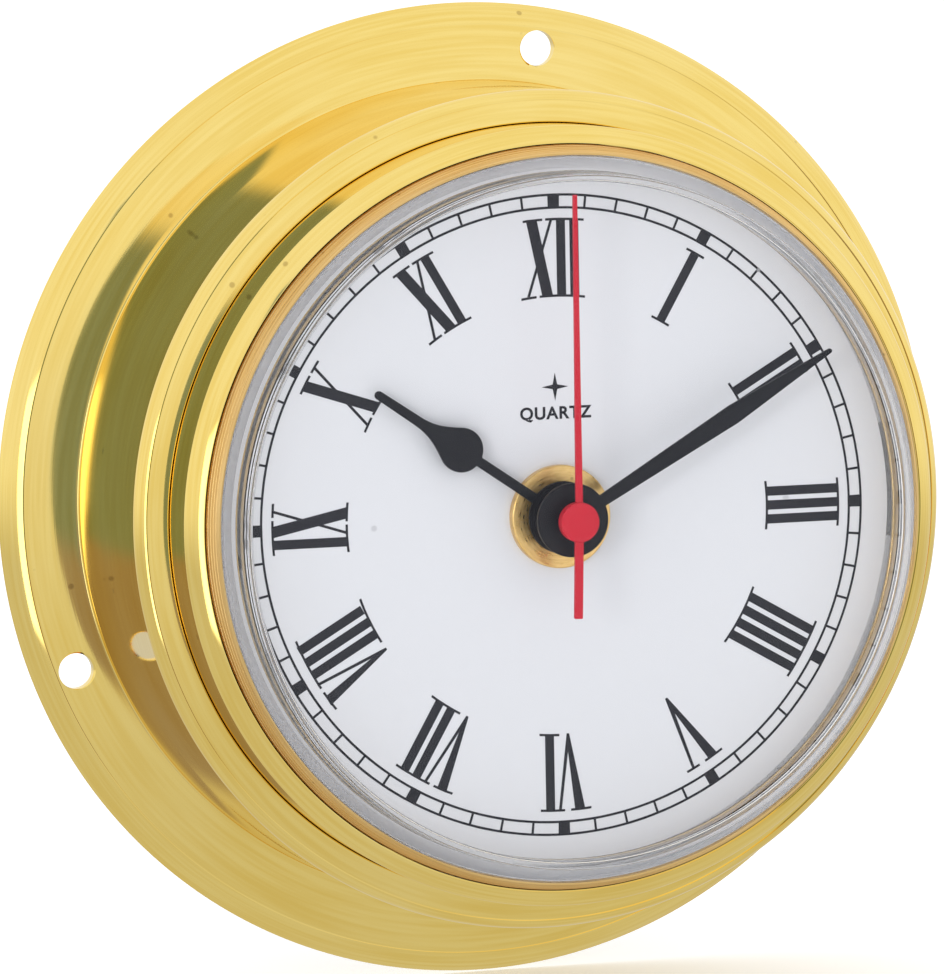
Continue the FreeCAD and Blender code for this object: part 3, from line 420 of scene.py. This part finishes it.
# enamelled wire: the windings run round the core as fine ribs, with painted shade darkening the grooves
# between them
def makeCopperWire():
    look = {"colour": (0.62, 0.21, 0.075), "deep": (0.36, 0.10, 0.03), "wirePitch": 0.00012}
    material, tree, surface = newMaterial("copperWire")
    phase = calc(tree, "MULTIPLY", apart(tree, ownPlace(tree))["X"], 2 * math.pi / look["wirePitch"])
    ribsAndGrooveShade = spread(tree, calc(tree, "SINE", phase), -1.0, 1.0)
    hands = place(tree, handling, patchScale=300.0, speckScale=1500.0, speckShare=0.1)
    # painted shade: the deep colour fills the troughs between the windings
    tone = blendColours(tree, ribsAndGrooveShade, look["deep"], look["colour"])
    tone = blendColours(tree, calc(tree, "MULTIPLY", hands["patches"], 0.4), tone, look["deep"])
    feedAll(tree, {"Base Color": tone, "Metallic": 0.9, "Normal": relief(tree, ribsAndGrooveShade, 0.8, 0.00005),
                   "Roughness": spread(tree, hands["patches"], 0.3, 0.7, 0.25, 0.4)}, surface)
    return material


# green solder mask over copper tracks that show as lighter lanes
def makeLaminate():
    look = {"mask": (0.012, 0.105, 0.035), "lane": (0.03, 0.20, 0.06), "solder": (0.5, 0.5, 0.48)}
    black, white = (0.0, 0.0, 0.0), (1.0, 1.0, 1.0)
    material, tree, surface = newMaterial("greenLaminate")
    turned = add(tree, "Mapping", {"Vector": ownPlace(tree), "Rotation": (math.pi / 2, 0.0, 0.0)}).outputs[0]
    pattern = {"Vector": turned, "Scale": 420.0, "Mortar Size": 0.06, "Color1": black, "Color2": black,
               "Mortar": white}
    lanes = add(tree, "TexBrick", pattern, offset=0.37, squash=0.7, squash_frequency=3).outputs["Color"]
    hands = place(tree, handling, patchScale=200.0, speckScale=450.0, speckShare=0.12)
    tone = blendColours(tree, lanes, look["mask"], look["lane"])
    tone = blendColours(tree, hands["specks"], tone, look["solder"])
    feedAll(tree, {"Base Color": tone, "Metallic": hands["specks"],
                   "Normal": relief(tree, lanes, 0.5, 0.00004),
                   "Roughness": spread(tree, hands["patches"], 0.3, 0.7, 0.28, 0.4)}, surface)
    return material


# a printed shrink sleeve: dark body, one bright band near the plus end, bare metal past the sleeve
def makeSleeve():
    look = {"body": (0.018, 0.030, 0.055), "band": (0.62, 0.36, 0.07), "can": (0.62, 0.62, 0.62),
            "bandFrom": 0.74, "bandTo": 0.955, "sleeveFrom": 0.012, "sleeveTo": 0.962}
    material, tree, surface = newMaterial("batterySleeve")
    low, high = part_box("battery")
    limits = {"Value": apart(tree, ownPlace(tree))["X"], "From Min": low.x, "From Max": high.x}
    along = add(tree, "MapRange", limits).outputs["Result"]
    inBand = calc(tree, "MULTIPLY", calc(tree, "GREATER_THAN", along, look["bandFrom"]),
                  calc(tree, "LESS_THAN", along, look["bandTo"]))
    ends = calc(tree, "ADD", calc(tree, "LESS_THAN", along, look["sleeveFrom"]),
                calc(tree, "GREATER_THAN", along, look["sleeveTo"]))
    mould = place(tree, mouldGrain, grainScale=900.0, flowScale=120.0)
    hands = place(tree, handling, patchScale=80.0, speckScale=900.0, speckShare=0.05)
    tone = blendColours(tree, inBand, look["body"], look["band"])
    tone = blendColours(tree, calc(tree, "MULTIPLY", mould["flow"], 0.2), tone, look["can"])
    tone = blendColours(tree, ends, tone, look["can"])
    bare = calc(tree, "MAXIMUM", ends, calc(tree, "MULTIPLY", inBand, 0.6))
    feedAll(tree, {"Base Color": tone, "Metallic": bare,
                   "Roughness": spread(tree, hands["patches"], 0.3, 0.7, 0.2, 0.34),
                   "Normal": relief(tree, mould["grain"], 0.1, 0.00002)}, surface)
    return material


slotFinish = {
    "polished_brass": polishedBrass, "turned_brass": turnedBrass, "train_brass": trainBrass,
    "spring_steel": springSteel, "bright_steel": brightSteel, "contact_metal": contactMetal,
    "ferrite": ferrite,
    "black_nylon": blackNylon, "black_plastic": blackPlastic, "grey_plastic": greyPlastic,
    "white_nylon": whiteNylon, "black_rubber": blackRubber, "black_resin": blackResin,
    "black_enamel": handEnamel, "red_plastic": redPlastic, "white_enamel": makeDialEnamel(),
    "clear_acrylic": makeAcrylic(), "copper_wire": makeCopperWire(), "green_laminate": makeLaminate(),
    "battery_label": makeSleeve()}
printedInk = makeInk()
for part in frame["record"]["subparts"]:
    shell = nodes[part["node"]].data
    shell.materials.clear()
    shell.materials.append(slotFinish[part["material_slot"]])
print("finishes made for", len(slotFinish), "slots")


def meshPiece(name, mesh, material, body):
    piece = bpy.data.objects.new(name, mesh)
    scene.collection.objects.link(piece)
    mesh.materials.append(material)
    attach(piece, body)
    return piece


def crownRadius(startR, endR, startTilt, endTilt):
    return (startR - endR) / (math.sin(math.radians(startTilt)) - math.sin(math.radians(endTilt)))


# a crown is a round from one tilt of the surface to another, seen from straight ahead of the clock
def crown(start, endR, startTilt, endTilt, steps=14):
    first, last = math.radians(startTilt), math.radians(endTilt)
    radius = crownRadius(start[0], endR, startTilt, endTilt)
    points = []
    for i in range(steps + 1):
        tilt = first + (last - first) * i / steps
        points.append((start[0] - radius * (math.sin(first) - math.sin(tilt)),
                       start[1] + radius * (math.cos(tilt) - math.cos(first))))
    return points


# a hollow is the quarter round in an inside corner, from the wall down to the flange
def hollow(wallR, height, radius, steps=14):
    centreR, centreH = wallR + radius, height + radius
    return [(centreR - radius * math.sin(math.radians(90.0 * i / steps)),
             centreH - radius * math.cos(math.radians(90.0 * i / steps))) for i in range(steps + 1)]


# a flare is a shallow arc that is upright at its top
def flare(foot, top, steps=14):
    half = math.atan2(foot[0] - top[0], top[1] - foot[1])
    radius = (top[1] - foot[1]) / math.sin(2 * half)
    leans = [2 * half * (1 - i / steps) for i in range(steps + 1)]
    return [(top[0] + radius * (1 - math.cos(lean)), top[1] - radius * math.sin(lean)) for lean in leans]


def quarter(centre, radius, first, last, steps=6):
    turns = [math.radians(first + (last - first) * i / steps) for i in range(steps + 1)]
    return [(centre[0] + radius * math.cos(turn), centre[1] + radius * math.sin(turn)) for turn in turns]


def meshFrom(shape, name):
    bmesh.ops.recalc_face_normals(shape, faces=shape.faces)
    mesh = bpy.data.meshes.new(name)
    shape.to_mesh(mesh)
    shape.free()
    return mesh


def inMetres(mesh):
    mesh.transform(Matrix.Scale(mm, 4))
    return mesh


# a profile in millimetres, radius and height in front of the wall, turned about the clock's axis
def turnedMesh(name, profile, around=360):
    shape = bmesh.new()
    rings = []
    for k in range(around):
        turn = 2 * math.pi * k / around
        rings.append([shape.verts.new((r * math.cos(turn), -h, r * math.sin(turn))) for r, h in profile])
    for k in range(around):
        here, there = rings[k], rings[(k + 1) % around]
        for i in range(len(profile)):
            j = (i + 1) % len(profile)
            shape.faces.new((here[i], here[j], there[j], there[i]))
    bmesh.ops.remove_doubles(shape, verts=shape.verts, dist=0.0005)    # closes the middle of a full disc
    return meshFrom(shape, name)


# flat and straight faces keep their own direction, and the rounds between them take up the turn
def keepFlats(piece):
    steady = piece.modifiers.new("flats", "WEIGHTED_NORMAL")
    steady.mode = "FACE_AREA"
    steady.weight = 90
    steady.keep_sharp = True


def smoothInMetres(mesh, sharpFrom=22.0):
    inMetres(mesh)
    mesh.shade_smooth()
    mesh.set_sharp_from_angle(angle=math.radians(sharpFrom))
    return mesh


def evaluated(item, name):
    bpy.context.view_layer.update()
    mesh = bpy.data.meshes.new_from_object(item.evaluated_get(bpy.context.evaluated_depsgraph_get()))
    mesh.name = name
    bpy.data.objects.remove(item)
    return mesh


# the base is spun from one sheet: sloping flange, rolled rim, drum and a slightly domed front
base = {"rimCreaseR": 60.8, "rimTilts": (54.0, 24.0), "rimFoot": 0.05, "rimWall": 1.5, "screwCircleR": 58.1,
        "flangeAtScrews": 2.4, "flangeSlope": 3.1, "sheet": 1.5, "footR": 53.5, "footHollow": 0.3,
        "waist": (53.05, 12.0), "drumTopR": 53.35, "innerHollow": 1.7, "front": 31.4, "creaseR": 52.15,
        "crease": 0.12, "line": (0.16, 0.25), "dome": 0.2, "boreR": 52.15, "lipR": 49.25, "lip": 1.2,
        "lipRound": 0.2, "shoulderTilts": (90.0, 24.0), "clip": (10.7, 11.7, 52.55), "holes": 3,
        "firstHole": 9.2, "holeR": 2.3, "deburr": 0.12}


def flangeHeight(r):
    return base["flangeAtScrews"] - (r - base["screwCircleR"]) * math.tan(math.radians(base["flangeSlope"]))


def buildBase():
    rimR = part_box("base_flange")[1].x / mm
    boreR, creaseR, lipR, lipRound = base["boreR"], base["creaseR"], base["lipR"], base["lipRound"]
    lineWide, lineDeep = base["line"]
    rim = crown((rimR, base["rimFoot"]), base["rimCreaseR"], *base["rimTilts"])
    flangeR = base["rimCreaseR"] - lineWide
    rimLine = [(base["rimCreaseR"], rim[-1][1] - lineDeep), (flangeR, rim[-1][1] - lineDeep),
               (flangeR, flangeHeight(flangeR))]
    footR = base["footR"]
    foot = hollow(footR, flangeHeight(footR + base["footHollow"]), base["footHollow"])
    drum = flare(foot[-1], base["waist"])
    tilts = [math.radians(t) for t in base["shoulderTilts"]]
    radius = crownRadius(base["drumTopR"], creaseR, *base["shoulderTilts"])
    wallTop = base["front"] + base["crease"] - radius * (math.cos(tilts[1]) - math.cos(tilts[0]))
    shoulder = crown((base["drumTopR"], wallTop), creaseR, *base["shoulderTilts"])
    frontLine = [(creaseR, base["front"] - lineDeep), (creaseR - lineWide, base["front"] - lineDeep),
                 (creaseR - lineWide, base["front"])]
    lipFront = base["front"] + base["dome"]
    turns = [math.radians(15 * i) for i in range(7)]
    lipEdge = [(lipR + lipRound * (1 - math.sin(turn)), lipFront - lipRound * (1 - math.cos(turn)))
               for turn in turns]
    lipBack = base["front"] - base["lip"]
    clipBack, clipFront, clipR = base["clip"]
    inner = base["innerHollow"]
    inside = hollow(boreR, flangeHeight(boreR + inner) - base["sheet"], inner)
    rimInner = rimR - base["rimWall"]
    profile = [(rimR, 0.0)] + rim + rimLine + foot + drum[1:] + shoulder + frontLine + lipEdge
    profile += [(lipR, lipBack), (boreR, lipBack), (boreR, clipFront), (clipR, clipFront), (clipR, clipBack),
                (boreR, clipBack)]
    profile += inside[::-1] + [(rimInner, flangeHeight(rimInner) - base["sheet"]), (rimInner, 0.0)]
    body = bpy.data.objects.new("baseBody", turnedMesh("baseBody", profile))
    cutters = bpy.data.collections.new("cutters")
    scene.collection.children.link(cutters)
    scene.collection.objects.link(body)
    front, mouthR = base["flangeAtScrews"], base["holeR"] + 2 * base["deburr"]
    drill = turnedMesh("drill", [
        (0.0, -1.0), (base["holeR"], -1.0), (base["holeR"], front - base["deburr"]),
        (mouthR, front + base["deburr"]), (mouthR, front + 2.0), (0.0, front + 2.0)], 64)
    for i in range(base["holes"]):
        turn = math.radians(base["firstHole"] + 360.0 * i / base["holes"])
        cutter = bpy.data.objects.new("drill_%d" % i, drill)
        cutter.location = (base["screwCircleR"] * math.sin(turn), 0.0, base["screwCircleR"] * math.cos(turn))
        cutters.objects.link(cutter)
    cut = body.modifiers.new("holes", "BOOLEAN")
    cut.operation = "DIFFERENCE"
    cut.solver = "EXACT"
    cut.operand_type = "COLLECTION"
    cut.collection = cutters
    mesh = evaluated(body, "clockBase")
    for cutter in list(cutters.objects):
        bpy.data.objects.remove(cutter)
    bpy.data.collections.remove(cutters)
    return smoothInMetres(mesh)


clockBase = meshPiece("clockBase", buildBase(), polishedBrass, "base")
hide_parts("base_flange")
keepFlats(clockBase)

# the head: a straight case whose edge turns over into a low dome, then a groove round the retaining ring
head = {"r": 49.2, "wall": 1.2, "bevel": 0.4, "back": 12.6, "domeStart": 38.85, "edge": 0.35,
        "domeTilts": (52.0, 24.0), "creaseR": 47.15, "grooveR": 47.0, "groove": 0.2, "shelfR": 44.5,
        "shelf": (32.4, 33.6)}


def buildHead():
    r, edgeR, domeStart = head["r"], head["edge"], head["domeStart"]
    dome = crown((r, domeStart), head["creaseR"], *head["domeTilts"], steps=12)
    upright, lean = math.radians(90.0), math.radians(head["domeTilts"][0])
    tilts = [upright + (lean - upright) * i / 6 for i in range(6)]
    edge = [(r - edgeR * (1 - math.sin(tilt)), domeStart - edgeR * (math.cos(lean) - math.cos(tilt)))
            for tilt in tilts]
    inner, grooveR, shelfR = r - head["wall"], head["grooveR"], head["shelfR"]
    grooveFloor = dome[-1][1] - head["groove"]
    shelfBack, shelfFront = head["shelf"]
    profile = [(inner, head["back"]), (r - head["bevel"], head["back"]), (r, head["back"] + head["bevel"])]
    profile += edge + dome[1:] + [(head["creaseR"], grooveFloor), (grooveR, grooveFloor)]
    profile += [(grooveR, shelfFront), (shelfR, shelfFront), (shelfR, shelfBack), (inner, shelfBack)]
    return smoothInMetres(turnedMesh("headCase", profile))


headCase = meshPiece("headCase", buildHead(), polishedBrass, "head")
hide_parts("head_case")
keepFlats(headCase)
print("base and head turned")

# the lens is a clear cup in two steps: a foot under the ring, a ledge level with it, and the raised front
lens = {"back": 36.2, "footR": 46.8, "foot": 37.4, "wallR": 45.6, "ledgeR": 45.5, "ledge": 42.8,
        "ledgeRound": 0.3, "boreR": 44.0, "collarR": 43.75, "topR": 43.45, "front": 47.2, "edge": 0.3,
        "innerR": 42.75, "thick": 1.6, "corner": 0.3}


def buildLens():
    ledge, ledgeRound, edge, corner = lens["ledge"], lens["ledgeRound"], lens["edge"], lens["corner"]
    under, inner = ledge - lens["thick"], lens["front"] - lens["thick"]
    profile = [(lens["boreR"], lens["back"]), (lens["footR"], lens["back"]), (lens["footR"], lens["foot"]),
               (lens["wallR"], lens["foot"])]
    profile += quarter((lens["ledgeR"] - ledgeRound, ledge - ledgeRound), ledgeRound, 0, 90)
    profile += [(lens["collarR"], ledge)]
    profile += quarter((lens["topR"] - edge, lens["front"] - edge), edge, 0, 90)
    profile += [(0.0, lens["front"]), (0.0, inner)]
    profile += quarter((lens["innerR"] - corner, inner - corner), corner, 90, 0)
    profile += [(lens["innerR"], under), (lens["boreR"], under)]
    return smoothInMetres(turnedMesh("lensCup", profile))


lensCup = meshPiece("lensCup", buildLens(), slotFinish["clear_acrylic"], "head")
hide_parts("lens")
keepFlats(lensCup)

# the retaining ring's sloping face keeps the fine steps of the turning tool
ring = {"boreR": 45.66, "back": 38.2, "outerR": 46.92, "waist": 40.3, "frontR": 45.95, "front": 43.0,
        "bevel": 0.1, "steps": 5, "stepDeep": 0.035}


def buildRing():
    start, end = (ring["outerR"], ring["waist"]), (ring["frontR"], ring["front"] - ring["bevel"])
    profile = [(ring["boreR"], ring["back"]), (ring["outerR"], ring["back"]), start]
    for i in range(1, ring["steps"]):
        share = i / ring["steps"]
        r, h = start[0] + (end[0] - start[0]) * share, start[1] + (end[1] - start[1]) * share
        profile += [(r + ring["stepDeep"], h - ring["stepDeep"]), (r - ring["stepDeep"], h)]
    profile += [end, (ring["frontR"] - ring["bevel"], ring["front"]), (ring["boreR"], ring["front"])]
    return smoothInMetres(turnedMesh("retainingRing", profile))


retainingRing = meshPiece("retainingRing", buildRing(), turnedBrass, "head")
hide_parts("retaining_ring")
keepFlats(retainingRing)
print("lens and retaining ring turned")


# the dial's print lies on the enamel; u runs right and v outward from the centre, both in millimetres
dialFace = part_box("dial_plate")[0].y / mm
inkThick = 0.03


def onDial(u, v, turnDeg):
    turn = math.radians(turnDeg)
    return u * math.cos(turn) + v * math.sin(turn), v * math.cos(turn) - u * math.sin(turn)


def inkPlates(outlines, turnDeg=0.0):
    shape = bmesh.new()
    for outline in outlines:
        spots = [onDial(u, v, turnDeg) for u, v in outline]
        back = [shape.verts.new((x, dialFace, z)) for x, z in spots]
        front = [shape.verts.new((x, dialFace - inkThick, z)) for x, z in spots]
        shape.faces.new(front)
        shape.faces.new(back[::-1])
        for i in range(len(spots)):
            j = (i + 1) % len(spots)
            shape.faces.new((back[i], back[j], front[j], front[i]))
    return meshFrom(shape, "ink")


# strokes that cross are joined into one closed outline
def joinStrokes(name, outlines, turnDeg):
    first = bpy.data.objects.new(name, inkPlates(outlines[:1], turnDeg))
    rest = bpy.data.objects.new(name + "Rest", inkPlates(outlines[1:], turnDeg))
    for item in (first, rest):
        scene.collection.objects.link(item)
    union = first.modifiers.new("union", "BOOLEAN")
    union.operation = "UNION"
    union.solver = "EXACT"
    union.use_self = True
    union.object = rest
    joined = inMetres(evaluated(first, name))
    bpy.data.objects.remove(rest)
    return joined


numeral = {"inner": 27.6, "outer": 37.5, "stem": 1.18, "pitch": 1.77, "serif": 0.3, "overhang": 0.72,
           "hair": 0.36, "arcStep": 0.5, "feetIn": 0.1, "headsIn": 0.15}


def arcBar(left, right, inner, thick):
    steps = max(2, round((right - left) / numeral["arcStep"]))
    across = [left + (right - left) * i / steps for i in range(steps + 1)]
    low = [(u, math.sqrt(inner ** 2 - u ** 2)) for u in across]
    high = [(u, math.sqrt((inner + thick) ** 2 - u ** 2)) for u in reversed(across)]
    return low + high


def serifs(left, right, end):
    radius = numeral["outer"] - numeral["serif"] if end == "outer" else numeral["inner"]
    return arcBar(left, right, radius, numeral["serif"])


def stroke(outerU, innerU, width):
    low, high = numeral["inner"] + numeral["feetIn"], numeral["outer"] - numeral["headsIn"]
    half = width / 2
    return [(innerU - half, low), (innerU + half, low), (outerU + half, high), (outerU - half, high)]


def stems(places):
    half = numeral["stem"] / 2 + numeral["overhang"]
    plates = [stroke(u, u, numeral["stem"]) for u in places]
    return plates, min(places) - half, max(places) + half


# across from the apex or the middle: left and right ends of each edge, then the two serifs
vee = {"foot": (-0.2, 0.12), "thinTop": (-0.2, 0.16), "thickTop": (-2.2, -0.85), "crotch": (-0.02, 29.9),
       "short": 0.15, "thickSerif": (-3.0, -0.3), "thinSerif": 0.95, "joinedSerif": 0.65}
cross = {"broad": (-1.0, 1.02), "broadWidth": 1.42, "fine": (1.62, -1.5),
         "heads": ((-2.1, 0.45), (0.85, 2.6)), "feet": ((-2.45, -0.45), (-0.05, 2.3))}


def letterV(apex, thin):
    high = numeral["outer"] - vee["short"]
    foot, thinTop = [apex + u for u in vee["foot"]], [apex + thin + u for u in vee["thinTop"]]
    thickTop = [apex + u for u in vee["thickTop"]]
    crotch, crotchAt = vee["crotch"]
    return [[(foot[0], numeral["inner"]), (foot[1], numeral["inner"]), (thinTop[1], high), (thinTop[0], high),
             (apex + crotch, crotchAt), (thickTop[1], high), (thickTop[0], high)]]


def letterX(middle):
    broad, fine = [[middle + u for u in ends] for ends in (cross["broad"], cross["fine"])]
    return [stroke(*broad, cross["broadWidth"]), stroke(*fine, numeral["hair"])]


def straightNumeral(count):
    places = [(i - (count - 1) / 2) * numeral["pitch"] for i in range(count)]
    plates, left, right = stems(places)
    return plates + [serifs(left, right, "outer"), serifs(left, right, "inner")]


def fiveNumeral(apex, thin, places):
    plates = letterV(apex, thin) + [serifs(*[apex + u for u in vee["thickSerif"]], "outer")]
    tip = apex + thin
    if not places:
        return plates + [serifs(tip - vee["thinSerif"], tip + vee["thinSerif"], "outer")]
    bars, left, right = stems(places)
    return plates + bars + [serifs(tip - vee["joinedSerif"], right, "outer"), serifs(left, right, "inner")]


def tenNumeral(middle, before, after):
    plates = letterX(middle)
    tops, feet = [[[middle + u for u in ends] for ends in cross[row]] for row in ("heads", "feet")]
    if before:
        bars, left, right = stems(before)
        plates += bars
        tops[0][0] = feet[0][0] = left
    if after:
        bars, left, right = stems(after)
        plates += bars
        tops[1][1] = feet[1][1] = right
    return plates + [serifs(a, b, "outer") for a, b in tops] + [serifs(a, b, "inner") for a, b in feet]


hours = {
    1: straightNumeral(1), 2: straightNumeral(2), 3: straightNumeral(3), 4: straightNumeral(4),
    5: fiveNumeral(0.0, 1.5, []), 6: fiveNumeral(-0.65, 1.15, [1.75]),
    7: fiveNumeral(-1.47, 0.95, [0.83, 2.6]), 8: fiveNumeral(-1.95, 0.95, [0.35, 2.12, 3.89]),
    9: tenNumeral(0.75, [-1.85], []), 10: tenNumeral(0.0, [], []), 11: tenNumeral(-0.75, [], [1.9]),
    12: tenNumeral(-1.95, [], [0.9, 2.65])}
for hour, outlines in hours.items():
    ink = joinStrokes("numeral_%d" % hour, outlines, 30.0 * hour)
    meshPiece("numeral_%d" % hour, ink, printedInk, "head")
print("numerals printed")


track = {"outer": 40.41, "inner": 38.8, "line": 0.3, "tick": 0.3, "block": 1.5, "perHour": 5, "arcStep": 1.0}


def buildTrack():
    half = track["line"] / 2
    rings = [track["inner"] - half, track["inner"] + half, track["outer"] - half, track["outer"] + half]
    middle = (track["inner"] + track["outer"]) / 2

    def reach(minute):
        width = track["block"] if minute % track["perHour"] == 0 else track["tick"]
        return math.degrees(width / 2 / middle)

    cuts = []
    for minute in range(12 * track["perHour"]):
        start, end = minute * 6.0 - reach(minute), minute * 6.0 + reach(minute)
        cuts.append((start, True))
        gapEnd = (minute + 1) * 6.0 - reach(minute + 1)
        steps = round((gapEnd - end) / track["arcStep"])
        cuts += [(end + (gapEnd - end) * i / steps, False) for i in range(steps)]
    shape = bmesh.new()
    grid = []
    for turnDeg, solid in cuts:
        spots = [onDial(0.0, radius, turnDeg) for radius in rings]
        grid.append([[shape.verts.new((x, dialFace - lift, z)) for x, z in spots]
                     for lift in (0.0, inkThick)])

    def filled(k, band):
        return band != 1 or cuts[k][1]

    for k in range(len(cuts)):
        here, there = grid[k], grid[(k + 1) % len(cuts)]
        for band in range(3):
            if not filled(k, band):
                continue
            shape.faces.new((here[1][band], here[1][band + 1], there[1][band + 1], there[1][band]))
            shape.faces.new((there[0][band], there[0][band + 1], here[0][band + 1], here[0][band]))
            for edge, other in ((band, band - 1), (band + 1, band + 1)):
                if not (0 <= other <= 2 and filled(k, other)):
                    shape.faces.new((here[0][edge], here[1][edge], there[1][edge], there[0][edge]))
        if filled(k, 1) != filled(k - 1, 1):
            shape.faces.new((here[0][1], here[1][1], here[1][2], here[0][2]))
    return inMetres(meshFrom(shape, "minuteTrack"))


meshPiece("minuteTrack", buildTrack(), printedInk, "head")

# a plain four-pointed star and the word for the movement's kind
mark = {"across": -0.2, "starAt": 16.3, "starLong": 1.75, "starWaist": 0.42, "wordAt": 12.3, "wordSize": 2.15,
        "wordGap": 1.12, "wordBold": 0.06}


def buildStar():
    points = []
    for i in range(8):
        reach = mark["starLong"] if i % 2 == 0 else mark["starWaist"]
        turn = math.radians(45 * i)
        points.append((mark["across"] + reach * math.sin(turn), mark["starAt"] + reach * math.cos(turn)))
    return inMetres(inkPlates([points]))


def buildWord():
    words = bpy.data.curves.new("dialWord", "FONT")
    words.body = "QUARTZ"
    words.align_x = "CENTER"
    words.size = mark["wordSize"]
    words.space_character = mark["wordGap"]
    words.offset = mark["wordBold"]
    words.extrude = inkThick / 2
    holder = bpy.data.objects.new("dialWordHolder", words)
    scene.collection.objects.link(holder)
    mesh = evaluated(holder, "dialWord")
    upright = Matrix.Rotation(math.pi / 2, 4, "X")
    spot = Matrix.Translation((mark["across"], dialFace - inkThick / 2, mark["wordAt"]))
    mesh.transform(Matrix.Scale(mm, 4) @ spot @ upright)
    mesh.materials.clear()
    return mesh


meshPiece("dialStar", buildStar(), printedInk, "head")
meshPiece("dialWord", buildWord(), printedInk, "head")
print("minute track and centre mark printed")


# pale floor under the clock's lowest edge
def makeFloor():
    look = {"colour": (0.9, 0.9, 0.905), "second": (0.885, 0.885, 0.89), "half": 30.0, "glow": 0.35}
    level = cadBounds[0].z - 0.0002
    mesh = bpy.data.meshes.new("floor")
    size = look["half"]
    corners = [(-size, -size, level), (size, -size, level), (size, size, level), (-size, size, level)]
    mesh.from_pydata(corners, [], [(0, 1, 2, 3)])
    material, tree, surface = newMaterial("floorPaint")
    mould = place(tree, mouldGrain, grainScale=300.0, flowScale=2.0)
    feedAll(tree, {"Base Color": blendColours(tree, mould["flow"], look["colour"], look["second"]),
                   "Roughness": 0.8, "Specular IOR Level": 0.1, "Emission Color": (1.0, 1.0, 1.0),
                   "Emission Strength": look["glow"]}, surface)
    mesh.materials.append(material)
    floor = bpy.data.objects.new("floor", mesh)
    scene.collection.objects.link(floor)
    floor.visible_glossy = False       # the brass mirrors the room's own lower half instead


makeFloor()

# a white room: bright above the horizon, dimmer below, with darker patches for the brass to mirror;
# a patch lies between two azimuths, in degrees from straight ahead of the dial, and between two heights
room = {
    "above": (0.97, 0.97, 0.98), "below": (0.66, 0.655, 0.64), "horizon": (-0.24, 0.02), "lightLevel": 1.0,
    "patches": {
        "tableEdge": {"azimuth": (-29.0, 0.0), "height": (-0.40, -0.135), "blur": (5.0, 0.06),
                      "shade": (0.36, 0.33, 0.42)},
        "darkDoorway": {"azimuth": (-26.0, -4.0), "height": (-0.135, 0.46), "blur": (3.0, 0.03),
                        "shade": (0.25, 0.35, 0.50)},
        "softbox": {"azimuth": (-46.0, -30.0), "height": (-0.32, 0.13), "blur": (2.0, 0.05),
                    "shade": (2.4, 2.4, 2.45)},
    },
}


def between(tree, value, low, high, blur):
    rise = spread(tree, value, low - blur, low)
    return calc(tree, "MULTIPLY", rise, spread(tree, value, high, high + blur, 1.0, 0.0))


def makeRoom():
    world = bpy.data.worlds.new("room")
    scene.world = world
    world.use_nodes = True
    tree = world.node_tree
    tree.nodes.clear()
    toward = apart(tree, add(tree, "TexCoord").outputs["Generated"])
    ahead = calc(tree, "MULTIPLY", toward["Y"], -1.0)
    azimuth = calc(tree, "DEGREES", calc(tree, "ARCTAN2", toward["X"], ahead))
    rise = spread(tree, toward["Z"], *room["horizon"])
    shade = blendColours(tree, rise, room["below"], room["above"])
    for patch in room["patches"].values():
        across = between(tree, azimuth, *patch["azimuth"], patch["blur"][0])
        upward = between(tree, toward["Z"], *patch["height"], patch["blur"][1])
        shade = blendColours(tree, calc(tree, "MULTIPLY", across, upward), shade, patch["shade"])
    seen = add(tree, "LightPath").outputs["Is Camera Ray"]
    shade = blendColours(tree, seen, shade, (1.0, 1.0, 1.0))
    back = add(tree, "Background", {"Color": shade, "Strength": room["lightLevel"]}).outputs[0]
    add(tree, "OutputWorld", {"Surface": back})


makeRoom()

lamp = {"at": (-2.1, -2.3, 0.35), "target": (0.0, -0.03, 0.0), "size": 0.9, "power": 16.0}


def makeLamp():
    light = bpy.data.lights.new("keyLeft", "AREA")
    light.shape = "DISK"
    light.size = lamp["size"]
    light.energy = lamp["power"]
    holder = bpy.data.objects.new("keyLeft", light)
    holder.location = lamp["at"]
    holder.rotation_euler = (Vector(lamp["target"]) - Vector(lamp["at"])).to_track_quat("-Z", "Y").to_euler()
    holder.visible_glossy = False
    scene.collection.objects.link(holder)


makeLamp()
print("floor, room and lamps set")

# a long lens, a little left of the dial and above it
shot = {"lens": 258.8, "sensor": 36.0, "at": (-0.26856, -0.86938, 0.09315), "azimuth": -17.168,
        "elevation": 5.828, "roll": 1.088}


def makeCamera():
    data = bpy.data.cameras.new("shot")
    data.lens = shot["lens"]
    data.sensor_width = shot["sensor"]
    data.clip_start = 0.01
    camera = bpy.data.objects.new("shot", data)
    turn = Matrix.Rotation(math.radians(shot["azimuth"]), 4, "Z")
    tilt = Matrix.Rotation(math.radians(90.0 - shot["elevation"]), 4, "X")
    roll = Matrix.Rotation(math.radians(-shot["roll"]), 4, "Z")
    camera.matrix_world = Matrix.Translation(shot["at"]) @ turn @ tilt @ roll
    scene.collection.objects.link(camera)
    scene.camera = camera


makeCamera()
